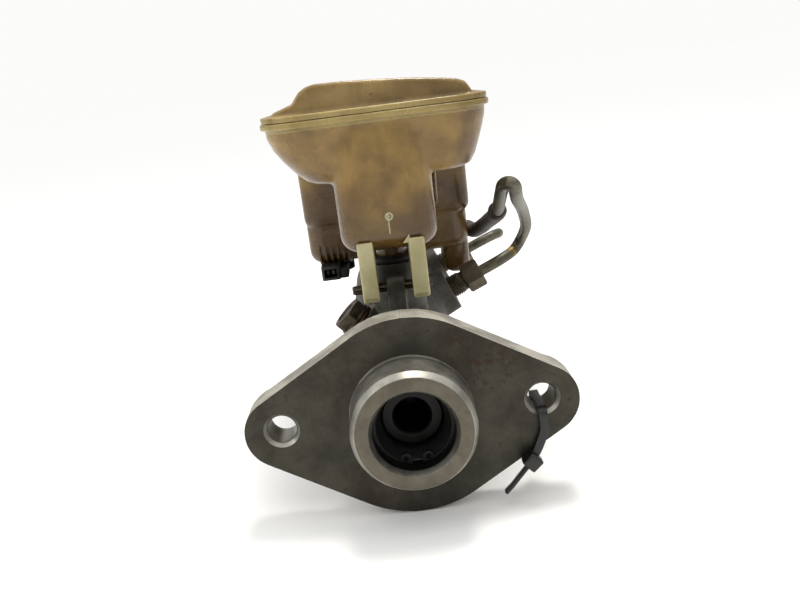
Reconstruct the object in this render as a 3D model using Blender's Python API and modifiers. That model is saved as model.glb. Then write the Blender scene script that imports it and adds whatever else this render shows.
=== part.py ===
"""Tandem brake master cylinder with its fluid reservoir, as separate sub-parts.

The bore axis is +Y: the flange that bolts to the brake booster faces -Y at y = 0, and the pistons
move towards +Y. +Z is up and the outlets are on the +X side. Dimensions are in millimetres and
become metres in the helpers.
"""
import math

import bmesh
import bpy
from mathutils import Matrix, Vector

MM = 0.001
ALONG_X = (1, 0, 0)
ALONG_Y = (0, 1, 0)
ALONG_Z = (0, 0, 1)
GAP = 0.3                     # clearance between pieces that touch on the real object
CUTTER_SPIN = 2.9             # degrees

# Flange and pilot
BOLT_X = 40.4                 # half the distance between the two bolt holes
BOLT_HOLE_R = 4.5
FLANGE_THICK = 9.7
FLANGE_TOP_R = 31.2
FLANGE_BOTTOM_R = 33.2
LOBE_R = 11.6
LOBE_DROP = 0.9               # how far the lobes sit below their holes
BOSS_BACK = 12.4              # rear of the bosses behind the bolt holes
PILOT_R = 19.0
PILOT_FRONT = -15.0

# Barrel and bore
BARREL_R = 19.75
BARREL_END = 173.0
MOUTH_R = 13.5                # chamfered mouth of the pilot
COUNTERBORE_R = 12.45
BORE_R = 11.15
BORE_END = 167.0
PISTON_R = BORE_R - GAP
SNAP_GROOVE = (-9.0, -7.7)

# Pistons, from the flange inwards
PRIMARY_WAIST = (14.0, 55.0)
PRIMARY_NOSE = 63.5
SECONDARY_REAR = 110.0
SECONDARY_WAIST = (117.5, 136.5)
SECONDARY_NOSE = 143.5
SOCKET_R = 5.6                # push-rod socket in the primary piston

# Outlets, side plug and stopper
OUTLET_Y = (107.0, 155.0)
OUTLET_ANGLE = 23.0           # above +X
OUTLET_BOSS_R = 9.5
OUTLET_FACE = 25.7            # distance of the boss face from the bore axis
OUTLET_THREAD_R = 4.9
TUBE_R = 2.38
PLUG_Y = 52.0
PLUG_ANGLE = 133.0
PLUG_FACE = 21.8
STOPPER_Y = 134.2
STOPPER_FACE = 22.5

# Reservoir
INLET_Y = (57.0, 134.0)
INLET_BOSS_TOP = (37.0, 21.5)
INLET_POCKET_R = 8.6
TANK_FLOOR = (45.6, 25.0)     # underside of the front well and of the rear tank
WELL_FRONT = 27.8
PIN_Y = 40.0
PIN_Z = 31.0
PIN_R = 1.6
LUG_INNER = 5.8
LUG_OUTER = 11.1
WALL = 2.4
RIM_X = 37.3
RIM_Y = (25.0, 150.0)
RIM_Z = (88.3, 92.3)
RIM_SPLIT = 90.3
SENSOR_X = -24.0
SENSOR_Y = 128.0
NECK_Y = 118.0
NECK_R = 17.0
NECK_TOP = 95.8

PART = None
CUTTERS = None


# ---------------------------------------------------------------- helpers

def start_scene():
    """Empties the file and makes the two collections."""
    global PART, CUTTERS
    for obj in list(bpy.data.objects):
        bpy.data.objects.remove(obj)
    PART = bpy.data.collections.new("brake_master_cylinder")
    CUTTERS = bpy.data.collections.new("cutters")
    for collection in (PART, CUTTERS):
        bpy.context.scene.collection.children.link(collection)


def material(name, colour, roughness, metallic=0.0, alpha=1.0):
    mat = bpy.data.materials.new(name)
    mat.use_nodes = True
    shader = mat.node_tree.nodes["Principled BSDF"]
    shader.inputs["Base Color"].default_value = (*colour, 1.0)
    shader.inputs["Roughness"].default_value = roughness
    shader.inputs["Metallic"].default_value = metallic
    shader.inputs["Alpha"].default_value = alpha
    return mat


def add_object(name, mesh, matrix=None, helper=False):
    obj = bpy.data.objects.new(name, mesh)
    if helper:
        CUTTERS.objects.link(obj)
        obj.hide_render = True
        obj.display_type = "WIRE"
    else:
        PART.objects.link(obj)
    if matrix:
        obj.matrix_world = matrix
    return obj


def facing(point, direction):
    """Matrix that stands local +Z on direction, at a point in millimetres."""
    turn = Vector(direction).to_track_quat("Z", "Y").to_matrix().to_4x4()
    return Matrix.Translation(Vector(point) * MM) @ turn


def radial(angle):
    """Direction across the bore, in degrees above +X."""
    return (math.cos(math.radians(angle)), 0.0, math.sin(math.radians(angle)))


def turned(name, profile, point=(0, 0, 0), direction=ALONG_Y, steps=32, ring=False, helper=False):
    """Solid of revolution. The profile is (radius, distance) from its far end down its outside."""
    mesh = bpy.data.meshes.new(name)
    verts = [(r * MM, 0.0, d * MM) for r, d in profile]
    edges = [(i, i + 1) for i in range(len(verts) - 1)]
    if ring:
        edges.append((len(verts) - 1, 0))
    mesh.from_pydata(verts, edges, [])
    obj = add_object(name, mesh, facing(point, direction), helper)
    screw = obj.modifiers.new("turn", "SCREW")
    screw.steps = steps
    screw.render_steps = steps
    screw.use_merge_vertices = True
    screw.merge_threshold = 0.000001
    screw.use_smooth_shade = False
    return obj


def rod(name, radius, start, end, point=(0, 0, 0), direction=ALONG_Y, steps=32, helper=False):
    """Plain cylinder from start to end along a direction."""
    profile = [(0, end), (radius, end), (radius, start), (0, start)]
    return turned(name, profile, point, direction, steps, helper=helper)


def tube_ring(name, inner, outer, start, end, point=(0, 0, 0), direction=ALONG_Y, steps=32, helper=False):
    """Plain ring with a square section."""
    profile = [(inner, end), (outer, end), (outer, start), (inner, start)]
    return turned(name, profile, point, direction, steps, ring=True, helper=helper)


def prism(name, sides, across_flats, start, end, point=(0, 0, 0), direction=ALONG_Y, helper=False):
    """Regular prism, such as a hexagon head."""
    mesh = bpy.data.meshes.new(name)
    bm = bmesh.new()
    radius = across_flats / 2 / math.cos(math.pi / sides)
    bmesh.ops.create_cone(bm, cap_ends=True, segments=sides, radius1=radius * MM,
                          radius2=radius * MM, depth=(end - start) * MM)
    bmesh.ops.translate(bm, verts=bm.verts, vec=(0, 0, (start + end) / 2 * MM))
    bm.to_mesh(mesh)
    bm.free()
    return add_object(name, mesh, facing(point, direction), helper)


def block(name, low, high, corner=0.0, floor=0.0, segments=4, helper=False):
    """Box with rounded upright edges, and with its floor's edges rounded if floor is given."""
    mesh = bpy.data.meshes.new(name)
    bm = bmesh.new()
    bmesh.ops.create_cube(bm, size=1.0)
    for vert in bm.verts:
        for axis in range(3):
            vert.co[axis] = (low[axis] if vert.co[axis] < 0 else high[axis]) * MM
    if corner:
        upright = [e for e in bm.edges if abs(e.verts[0].co.z - e.verts[1].co.z) > 1e-6]
        bmesh.ops.bevel(bm, geom=upright, offset=corner * MM, segments=segments, profile=0.5,
                        affect="EDGES", clamp_overlap=True)
    if floor:
        bottom = [e for e in bm.edges if max(v.co.z for v in e.verts) < low[2] * MM + 1e-6]
        bmesh.ops.bevel(bm, geom=bottom, offset=floor * MM, segments=segments, profile=0.5,
                        affect="EDGES", clamp_overlap=True)
    bm.to_mesh(mesh)
    bm.free()
    return add_object(name, mesh, None, helper)


def arc(centre, radius, start, end, count):
    """Points on an arc, angles in degrees."""
    points = []
    for i in range(count + 1):
        angle = math.radians(start + (end - start) * i / count)
        points.append((centre[0] + radius * math.cos(angle), centre[1] + radius * math.sin(angle)))
    return points


def mesh_of(curve_object):
    """Turns a curve object into a clean closed mesh with the same name and place."""
    depsgraph = bpy.context.evaluated_depsgraph_get()
    mesh = bpy.data.meshes.new_from_object(curve_object.evaluated_get(depsgraph))
    bm = bmesh.new()
    bm.from_mesh(mesh)
    bmesh.ops.remove_doubles(bm, verts=bm.verts, dist=0.000001)
    bmesh.ops.dissolve_limit(bm, angle_limit=math.radians(0.5), verts=bm.verts, edges=bm.edges)
    bm.to_mesh(mesh)
    bm.free()
    name = curve_object.name
    matrix = curve_object.matrix_world.copy()
    helper = curve_object.hide_render
    bpy.data.objects.remove(curve_object)
    return add_object(name, mesh, matrix, helper)


def plate(name, outline, start, end, normal="y", helper=False, hole=None):
    """Flat outline given across x and z (or y and z, or x and y) and extruded along its normal."""
    curve = bpy.data.curves.new(name, "CURVE")
    curve.dimensions = "2D"
    curve.fill_mode = "BOTH"
    curve.extrude = (end - start) / 2 * MM
    for loop in [outline] + ([hole] if hole else []):
        spline = curve.splines.new("POLY")
        spline.points.add(len(loop) - 1)
        for point, (u, v) in zip(spline.points, loop):
            point.co = (u * MM, v * MM, 0, 1)
        spline.use_cyclic_u = True
    middle = (start + end) / 2 * MM
    stand = {
        "x": Matrix.Translation((middle, 0, 0)) @ Matrix(((0, 0, 1, 0), (1, 0, 0, 0), (0, 1, 0, 0),
                                                         (0, 0, 0, 1))),
        "y": Matrix.Translation((0, middle, 0)) @ Matrix.Rotation(math.radians(90), 4, "X"),
        "z": Matrix.Translation((0, 0, middle)),
    }[normal]
    obj = add_object(name, curve, stand, helper)
    bpy.context.view_layer.update()
    return mesh_of(obj)


def smooth_path(route, spacing):
    """Evenly spaced points on a smooth curve through the route's points."""
    ends = [route[0] * 2 - route[1]] + route + [route[-1] * 2 - route[-2]]
    fine = []
    for i in range(1, len(ends) - 2):
        before, here, there, after = ends[i - 1:i + 3]
        for step in range(16):
            t = step / 16
            fine.append(0.5 * (2 * here + (there - before) * t
                               + (2 * before - 5 * here + 4 * there - after) * t * t
                               + (3 * here - before - 3 * there + after) * t * t * t))
    fine.append(route[-1])
    points = [fine[0]]
    for point in fine[1:-1]:
        if (point - points[-1]).length >= spacing:
            points.append(point)
    if (fine[-1] - points[-1]).length < spacing / 2:
        points.pop()
    points.append(fine[-1])
    return points


def wire(name, points, radius, resolution=2, flat=0.0, tilt=0.0, helper=False):
    """Round wire or, with flat, a strap, along points in millimetres."""
    curve = bpy.data.curves.new(name, "CURVE")
    curve.dimensions = "3D"
    curve.bevel_depth = radius * MM
    curve.bevel_resolution = resolution
    curve.extrude = flat * MM
    curve.use_fill_caps = True
    curve.resolution_u = 1
    curve.render_resolution_u = 0
    spline = curve.splines.new("POLY")
    spline.points.add(len(points) - 1)
    for point, place in zip(spline.points, points):
        point.co = (*(place * MM), 1)
        point.tilt = tilt
    return add_object(name, curve, None, helper)


def combine(obj, other, operation):
    modifier = obj.modifiers.new(other.name, "BOOLEAN")
    modifier.operation = operation
    modifier.object = other
    modifier.solver = "EXACT"


def cut(obj, *cutters):
    """Cuts holes. A turned cutter is spun a little, so that its edges miss those of the face it cuts."""
    for cutter in cutters:
        if "turn" in cutter.modifiers:
            cutter.matrix_world = cutter.matrix_world @ Matrix.Rotation(math.radians(CUTTER_SPIN), 4, "Z")
        combine(obj, cutter, "DIFFERENCE")


def join(obj, *others):
    for other in others:
        combine(obj, other, "UNION")


def bevel(obj, width, segments=2, angle=40.0):
    modifier = obj.modifiers.new("soft_edges", "BEVEL")
    modifier.width = width * MM
    modifier.segments = segments
    modifier.limit_method = "ANGLE"
    modifier.angle_limit = math.radians(angle)


def paint(mat, *objects):
    for obj in objects:
        obj.data.materials.clear()
        obj.data.materials.append(mat)


# ---------------------------------------------------------------- casting

def flange_outline():
    """Rounded diamond: two lobes round the bolt holes, joined by tangents to the middle arcs."""
    reach = math.hypot(BOLT_X, LOBE_DROP)
    lean = math.degrees(math.atan2(LOBE_DROP, BOLT_X))
    top = math.degrees(math.acos((FLANGE_TOP_R - LOBE_R) / reach)) - lean
    bottom = math.degrees(math.acos((FLANGE_BOTTOM_R - LOBE_R) / reach)) + lean
    points = arc((BOLT_X, -LOBE_DROP), LOBE_R, -bottom, top, 10)
    points += arc((0, 0), FLANGE_TOP_R, top, 180 - top, 12)
    points += arc((-BOLT_X, -LOBE_DROP), LOBE_R, 180 - top, 180 + bottom, 10)
    points += arc((0, 0), FLANGE_BOTTOM_R, 180 + bottom, 360 - bottom, 12)
    return points


def flange():
    """Flange plate with its rear bosses, as a piece to join to the barrel."""
    disc = plate("flange_plate", flange_outline(), 0.0, FLANGE_THICK, helper=True)
    bevel(disc, 0.8, 1)
    for side in (-1, 1):
        profile = [(0, BOSS_BACK), (LOBE_R - 1.2, BOSS_BACK), (LOBE_R - 0.3, BOSS_BACK - 0.9),
                   (LOBE_R - 0.3, 4.0), (0, 4.0)]
        join(disc, turned("bolt_boss", profile, (side * BOLT_X, 0, -LOBE_DROP), steps=28, helper=True))
    return disc


def barrel():
    """Pilot and barrel, turned about the bore."""
    profile = [(0, BARREL_END), (9.0, BARREL_END), (9.5, BARREL_END - 2.0), (15.5, BARREL_END - 2.5),
               (BARREL_R, BARREL_END - 6.5), (BARREL_R, FLANGE_THICK + 5.0),
               (BARREL_R + 2.5, FLANGE_THICK + 1.5), (BARREL_R + 4.0, FLANGE_THICK - 0.5),
               (BARREL_R + 4.0, 2.0), (PILOT_R + 0.3, 2.0), (PILOT_R + 0.3, -0.3), (PILOT_R, -0.8),
               (PILOT_R, PILOT_FRONT + 2.4), (PILOT_R - 1.35, PILOT_FRONT), (0, PILOT_FRONT)]
    return turned("cylinder_body", profile, steps=48)


def bore_cutter():
    """Mouth, counterbore, snap-ring groove and bore."""
    profile = [(0, BORE_END + 3.0), (BORE_R - 4.0, BORE_END), (BORE_R, BORE_END), (BORE_R, 0.0),
               (COUNTERBORE_R, 0.0), (COUNTERBORE_R, SNAP_GROOVE[1]),
               (COUNTERBORE_R + 0.9, SNAP_GROOVE[1]), (COUNTERBORE_R + 0.9, SNAP_GROOVE[0]),
               (COUNTERBORE_R, SNAP_GROOVE[0]), (COUNTERBORE_R, PILOT_FRONT + 2.1),
               (2 * MOUTH_R - COUNTERBORE_R, PILOT_FRONT - 2.1), (0, PILOT_FRONT - 2.1)]
    return turned("bore_cutter", profile, steps=48, helper=True)


def reservoir_tab():
    """Cast ear that the roll pin goes through."""
    top = PIN_Z + 4.2
    outline = [(PIN_Y - 4.0, 14.0), (PIN_Y + 9.0, 14.0), (PIN_Y + 9.0, PIN_Z - 3.0), (PIN_Y + 4.0, PIN_Z)]
    outline += arc((PIN_Y + 2.0, top - 2.0), 2.0, 0, 90, 3) + arc((PIN_Y - 2.0, top - 2.0), 2.0, 90, 180, 3)
    tab = plate("tab", outline, -3.2, 3.2, normal="x", helper=True)
    bevel(tab, 0.7, 2)
    return tab


def bolt_hole_cutter(x):
    profile = [(0, BOSS_BACK + 3.0), (BOLT_HOLE_R, BOSS_BACK + 3.0), (BOLT_HOLE_R, 1.1),
               (BOLT_HOLE_R + 3.1, -2.0), (0, -2.0)]
    return turned("bolt_hole", profile, (x, 0, 0), steps=24, helper=True)


def cylinder_body(mat):
    body = barrel()
    join(body, flange(), reservoir_tab())
    out = radial(OUTLET_ANGLE)
    for y in OUTLET_Y:
        boss = [(0, OUTLET_FACE), (OUTLET_BOSS_R - 0.7, OUTLET_FACE), (OUTLET_BOSS_R, OUTLET_FACE - 0.7),
                (OUTLET_BOSS_R + 0.8, 14.0), (0, 14.0)]
        join(body, turned("outlet_boss", boss, (0, y, 0), out, steps=28, helper=True))
    for y, top in zip(INLET_Y, INLET_BOSS_TOP):
        boss = [(0, top), (10.0, top), (10.6, top - 0.6), (10.9, 14.0), (0, 14.0)]
        join(body, turned("inlet_boss", boss, (0, y, 0), ALONG_Z, steps=28, helper=True))
    plug = radial(PLUG_ANGLE)
    join(body, rod("plug_boss", 8.2, 13.0, PLUG_FACE, (0, PLUG_Y, 0), plug, 24, helper=True))
    join(body, rod("stopper_boss", 6.8, 14.0, STOPPER_FACE, (0, STOPPER_Y, 0), (0, 0, -1), 24, helper=True))
    join(body, plate("cast_rib", [(FLANGE_THICK - 1.0, -14.0), (FLANGE_THICK - 1.0, -28.0),
                                  (FLANGE_THICK + 14.0, -17.0), (FLANGE_THICK + 14.0, -14.0)],
                     -2.5, 2.5, normal="x", helper=True))
    cut(body, bore_cutter())
    for x in (-BOLT_X, BOLT_X):
        cut(body, bolt_hole_cutter(x))
    cut(body, rod("tab_hole", PIN_R + GAP, -8.0, 8.0, (0, PIN_Y, PIN_Z), ALONG_X, 14, helper=True))
    for y in OUTLET_Y:
        port = [(0, OUTLET_FACE + 1.0), (OUTLET_THREAD_R + 2.1, OUTLET_FACE + 1.0),
                (OUTLET_THREAD_R + GAP, OUTLET_FACE - 0.8), (OUTLET_THREAD_R + GAP, 14.0), (2.0, 14.0),
                (2.0, 8.0), (0, 8.0)]
        cut(body, turned("outlet_port", port, (0, y, 0), out, steps=16, helper=True))
    for y, top in zip(INLET_Y, INLET_BOSS_TOP):
        floor = top - 8.0
        pocket = [(0, top + 2.0), (INLET_POCKET_R, top + 2.0), (INLET_POCKET_R, floor), (0, floor)]
        cut(body, turned("inlet_pocket", pocket, (0, y, 0), ALONG_Z, steps=24, helper=True))
        feed_y = y - 4.8
        cut(body, rod("feed_hole", 1.75, 8.0, top - 6.0, (0, feed_y, 0), ALONG_Z, 10, helper=True))
        cut(body, rod("return_hole", 0.7, 8.0, top - 6.0, (0, y + 7.0, 0), ALONG_Z, 8, helper=True))
    cut(body, rod("plug_hole", 4.3, 15.0, PLUG_FACE + 2.0, (0, PLUG_Y, 0), plug, 16, helper=True))
    cut(body, rod("stopper_hole", 3.3, 8.0, STOPPER_FACE + 2.0, (0, STOPPER_Y, 0), (0, 0, -1), 16,
                  helper=True))
    paint(mat, body)


# ---------------------------------------------------------------- bore parts

def guide_bush(mat):
    """Funnel-shaped bush that stops the primary piston."""
    profile = [(9.85, -GAP), (COUNTERBORE_R - GAP, -GAP), (COUNTERBORE_R - GAP, -7.4), (11.6, -7.4),
               (9.85, -3.2)]
    paint(mat, turned("guide_bush", profile, steps=40, ring=True))


def snap_ring(mat):
    """Open ring in the groove, with the two eyes for the pliers."""
    ring = tube_ring("snap_ring", 11.3, COUNTERBORE_R + 0.6, SNAP_GROOVE[0] + GAP / 2,
                     SNAP_GROOVE[1] - GAP / 2, steps=32)
    for side in (-1, 1):
        place = (side * 3.4, 0, -10.2)
        low, high = SNAP_GROOVE
        join(ring, rod("ring_eye", 1.7, low + 0.2, high - 0.2, place, steps=12, helper=True))
        cut(ring, rod("eye_hole", 0.8, low - 1, high + 1, place, steps=10, helper=True))
    cut(ring, block("ring_gap", (-1.5, -12, -15), (1.5, -5, -7), helper=True))
    paint(mat, ring)


def cup(name, mat, inner, start, length):
    """Rubber cup with its lip towards +Y."""
    end = start + length
    lip = PISTON_R + 0.15
    profile = [(inner + 1.4, end), (lip, end), (lip, end - 1), (PISTON_R - 0.5, start), (inner, start),
               (inner, end - 2.2), (inner + 0.9, end - 1.6)]
    paint(mat, turned(name, profile, steps=24, ring=True))


def primary_piston(mat):
    rear, front = PRIMARY_WAIST
    profile = [(0, PRIMARY_NOSE), (8.6, PRIMARY_NOSE), (9.0, PRIMARY_NOSE - 0.5), (9.0, PRIMARY_NOSE - 1.5),
               (6.5, PRIMARY_NOSE - 1.5), (6.5, front + 2.5), (PISTON_R, front + 2.5), (PISTON_R, front),
               (8.0, front - 1.0), (8.0, rear + 1.0), (PISTON_R, rear), (PISTON_R, 9.0), (8.4, 9.0),
               (8.4, 5.0), (PISTON_R, 5.0), (PISTON_R, 0.6), (9.5, 0.6), (9.5, -0.6), (9.1, -1.0),
               (0, -1.0)]
    piston = turned("primary_piston", profile, steps=28)
    socket = [(0, 19.0), (3.4, 17.0), (SOCKET_R, 13.0), (SOCKET_R, -0.6), (SOCKET_R + 2.0, -2.6), (0, -2.6)]
    cut(piston, turned("push_rod_socket", socket, steps=24, helper=True))
    cut(piston, rod("bolt_thread", 2.6, 50.0, PRIMARY_NOSE + 1.0, steps=14, helper=True))
    paint(mat, piston)


def spring_bolt(mat):
    """Long screw that cages the primary spring."""
    profile = [(0, 96.2), (2.4, 96.2), (2.9, 95.7), (2.9, 93.8), (1.6, 93.8), (1.6, 68.0), (2.3, 67.5),
               (2.3, 51.0), (0, 51.0)]
    paint(mat, turned("spring_bolt", profile, steps=14))


def spring_retainer(mat):
    """Pressed top hat between the primary spring and the secondary piston."""
    face = SECONDARY_REAR - GAP
    profile = [(2.0, 92.4), (4.4, 92.4), (4.4, face - 1.0), (8.8, face - 1.0), (8.8, face),
               (3.5, face), (3.5, 93.4), (2.0, 93.4)]
    profile.reverse()
    paint(mat, turned("spring_retainer", profile, steps=24, ring=True))


def coil(name, mat, mean_radius, wire_radius, start, end, turns):
    """Compression spring with closed ends, about the bore axis."""
    per_turn = 12
    count = int(turns * per_turn)
    points = []
    for i in range(count + 1):
        t = i / count
        end_turn = 1.0 / turns
        rise = min(max((t - end_turn * 0.75) / (1 - 1.5 * end_turn), 0.0), 1.0)
        closed = min(t, end_turn * 0.75) + max(t - 1 + end_turn * 0.75, 0.0)
        flat_rise = wire_radius * 2.1
        along = start + closed * turns * flat_rise + rise * (end - start - 1.5 * flat_rise)
        angle = 2 * math.pi * turns * t
        points.append(Vector((mean_radius * math.cos(angle), along, mean_radius * math.sin(angle))))
    spring = wire(name, points, wire_radius, resolution=1)
    paint(mat, spring)


def secondary_piston(mat):
    rear, front = SECONDARY_WAIST
    profile = [(0, SECONDARY_NOSE), (8.6, SECONDARY_NOSE), (9.0, SECONDARY_NOSE - 0.5),
               (9.0, SECONDARY_NOSE - 1.3), (6.5, SECONDARY_NOSE - 1.3), (6.5, front + 1.5),
               (PISTON_R, front + 1.5), (PISTON_R, front), (7.5, front), (7.5, rear),
               (PISTON_R, rear), (PISTON_R, 116.0), (7.0, 116.0), (7.0, 111.8), (PISTON_R, 111.8),
               (PISTON_R, SECONDARY_REAR), (0, SECONDARY_REAR)]
    piston = turned("secondary_piston", profile, steps=28)
    cut(piston, rod("bolt_recess", 3.9, SECONDARY_REAR - 1.0, SECONDARY_REAR + 6.0, steps=18, helper=True))
    cut(piston, rod("spring_recess", 4.2, SECONDARY_NOSE - 9.0, SECONDARY_NOSE + 1.0, steps=18,
                    helper=True))
    paint(mat, piston)


def threaded_plug(name, mat, point, direction, face, across_flats, head, shank_r, tip, tip_r=None):
    """Hexagon bolt with a flange under its head, on a face at a distance from the bore axis."""
    bolt = prism(name, 6, across_flats, face + 1.9, face + 1.9 + head, point, direction)
    collar = across_flats / 2 + 0.6
    profile = [(0, face + 2.6), (collar, face + 2.6), (collar, face + 1.6), (shank_r, face + 1.6)]
    if tip_r:
        profile += [(shank_r, 13.0), (tip_r, 12.5)]
        profile += [(tip_r, tip), (0, tip)]
    else:
        profile += [(shank_r, tip), (0, tip)]
    join(bolt, turned("bolt_shank", profile, point, direction, steps=20, helper=True))
    paint(mat, bolt)


def gasket(name, mat, point, direction, face, inner, outer):
    paint(mat, tube_ring(name, inner, outer, face + GAP, face + 1.3, point, direction, steps=20))


# ---------------------------------------------------------------- outlets and tubes

def outlet_seat(name, mat, y):
    """Cone seat that the tube's flare is pressed onto."""
    profile = [(1.6, 17.2), (2.2, 17.2), (4.6, 15.0), (4.6, 14.0 + GAP), (1.6, 14.0 + GAP)]
    paint(mat, turned(name, profile, (0, y, 0), radial(OUTLET_ANGLE), steps=18, ring=True))


def flare_nut(name, mat, y):
    """Male flare nut: hexagon, neck, and a thread that stands part way out of its boss."""
    point, out = (0, y, 0), radial(OUTLET_ANGLE)
    nut = prism(name, 6, 11.0, 32.5, 40.5, point, out)
    bevel(nut, 0.5, 1, 80.0)
    profile = [(0, 34.0), (4.1, 34.0), (4.1, 30.8), (OUTLET_THREAD_R, 30.2), (OUTLET_THREAD_R, 19.2),
               (0, 19.2)]
    join(nut, turned("nut_thread", profile, point, out, steps=20, helper=True))
    cut(nut, rod("nut_bore", TUBE_R + 0.35, 10.0, 45.0, point, out, 14, helper=True))
    paint(mat, nut)


def along_outlet(y, distance):
    """Point on an outlet's axis."""
    out = Vector(radial(OUTLET_ANGLE)) * distance
    return Vector((out.x, y, out.z))


PRIMARY_ROUTE = [(47, 109, 19.5), (53, 113, 21.8), (56.5, 112, 26.8), (57, 101, 34), (55, 91, 40.5),
                 (52, 79, 46.2), (48, 62, 51.8), (45.8, 51, 56), (44.6, 45, 59.2), (42.8, 43.2, 60.9),
                 (41.2, 47, 60), (41.4, 55, 56.5), (42, 66, 51.5), (42.8, 78, 46.4), (43.8, 96, 41),
                 (43.6, 114, 36), (41.4, 128, 30.8), (39.0, 138, 27.8), (37.2, 149, 27.6),
                 (33, 158, 28.5), (26, 164, 29.5), (18, 167, 30)]
SECONDARY_ROUTE = [(45, 155, 19), (50, 156, 20.6), (53.2, 159.5, 20.6), (54.4, 166, 19.4)]
SLEEVE_START = 80.0           # y where the sleeve starts on the returning leg
SLEEVE_END = 150.0


def tube_points(y, route):
    points = [along_outlet(y, 17.8), along_outlet(y, 30.0), along_outlet(y, 42.0)]
    return smooth_path(points + [Vector(p) for p in route], 3.4)


def brake_tubes(mat):
    """The two steel tubes. The first folds back beside the reservoir, the second is a short stub."""
    names = ("brake_tube_primary", "brake_tube_secondary")
    for name, y, route in zip(names, OUTLET_Y, (PRIMARY_ROUTE, SECONDARY_ROUTE)):
        paint(mat, wire(name, tube_points(y, route), TUBE_R, resolution=2))


def tube_sleeve(mat):
    """Black sleeve on the returning leg of the first tube."""
    points = tube_points(OUTLET_Y[0], PRIMARY_ROUTE)
    turn = min(range(len(points)), key=lambda i: points[i].y)
    leg = [p for p in points[turn:] if SLEEVE_START <= p.y <= SLEEVE_END]
    sleeve = mesh_of(refreshed(wire("tube_sleeve", leg, TUBE_R + GAP + 0.6, resolution=2)))
    start = leg[0] - (leg[1] - leg[0]).normalized()
    end = leg[-1] + (leg[-1] - leg[-2]).normalized()
    hollow = wire("sleeve_bore", [start] + leg + [end], TUBE_R + GAP, resolution=2, helper=True)
    cut(sleeve, mesh_of(refreshed(hollow)))
    paint(mat, sleeve)


def refreshed(obj):
    bpy.context.view_layer.update()
    return obj


# ---------------------------------------------------------------- reservoir

# Levels of the pan: height, left, right, front, back, corner radius
PAN = [(69.0, -22.5, 28.0, 31.0, 143.0, 10.0), (70.2, -25.0, 30.3, 28.6, 145.5, 11.0),
       (73.0, -28.2, 32.0, 27.7, 147.0, 12.0), (77.0, -31.6, 33.4, 27.4, 147.6, 12.5),
       (81.0, -34.3, 34.8, 27.2, 148.0, 13.0), (85.0, -35.9, 35.9, 27.0, 148.0, 13.0),
       (89.3, -36.2, 36.2, 27.0, 148.0, 13.0)]


def pan_form(name, inset, ceiling):
    """Pan with sloping sides, lofted through its levels."""
    rings = []
    for z, left, right, front, back, radius in PAN:
        left, right, front, back = left + inset, right - inset, front + inset, back - inset
        radius -= inset * 0.8
        level = z + inset * 0.5 if z < PAN[-1][0] else ceiling
        ring = arc((right - radius, front + radius), radius, -90, 0, 4)
        ring += arc((right - radius, back - radius), radius, 0, 90, 4)
        ring += arc((left + radius, back - radius), radius, 90, 180, 4)
        ring += arc((left + radius, front + radius), radius, 180, 270, 4)
        rings.append([(x * MM, y * MM, level * MM) for x, y in ring])
    count = len(rings[0])
    faces = [tuple(reversed(range(count))), tuple(range((len(rings) - 1) * count, len(rings) * count))]
    for i in range(len(rings) - 1):
        for k in range(count):
            j = (k + 1) % count
            faces.append((i * count + k, i * count + j, (i + 1) * count + j, (i + 1) * count + k))
    mesh = bpy.data.meshes.new(name)
    mesh.from_pydata([v for ring in rings for v in ring], [], faces)
    return add_object(name, mesh, None, True)


def tank_form(tag, inset, ceiling):
    """Outer or, with an inset, inner shape of the lower half: pan, front well and rear tank."""
    def room(name, low, high, corner, floor):
        low = (low[0] + inset, low[1] + inset, low[2] + inset)
        high = (high[0] - inset, high[1] - inset, high[2] - inset)
        return block(name + tag, low, high, corner - inset, floor - inset, 3, helper=True)

    pan = pan_form("pan" + tag, inset, ceiling)
    well = room("well", (-16.2, WELL_FRONT, TANK_FLOOR[0]), (16.2, 66.0, 80.0), 8.0, 5.5)
    upper = room("rear_upper", (-36.0, 114.0, 41.0), (36.3, 147.5, 78.0), 6.0, 4.0)
    lower = room("rear_lower", (-35.7, 115.5, TANK_FLOOR[1]), (34.7, 146.0, 60.0), 6.5, 5.5)
    drop = room("rear_drop", (23.0, 117.5, 13.5), (34.5, 144.5, 45.0), 5.0, 4.0)
    return pan, well, upper, lower, drop


def rim_plate(name, start, end, grow=0.0, helper=False):
    radius = 14.0 + grow
    x, (y0, y1) = RIM_X + grow, RIM_Y
    y0, y1 = y0 - grow, y1 + grow
    outline = arc((x - radius, y0 + radius), radius, -90, 0, 5)
    outline += arc((x - radius, y1 - radius), radius, 0, 90, 5)
    outline += arc((-x + radius, y1 - radius), radius, 90, 180, 5)
    outline += arc((-x + radius, y0 + radius), radius, 180, 270, 5)
    return plate(name, outline, start, end, normal="z", helper=helper)


def reservoir_lug(side):
    """Lug that hangs in front of the well and takes the roll pin."""
    outline = [(26.6, 31.0), (28.0, 29.2), (36.0, 27.6), (45.5, 27.6), (45.5, 47.5), (38.0, 49.8), (26.6, 49.6)]
    low, high = sorted((side * LUG_INNER, side * LUG_OUTER))
    lug = plate("lug", outline, low, high, normal="x", helper=True)
    bevel(lug, 0.5, 1)
    return lug


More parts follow.
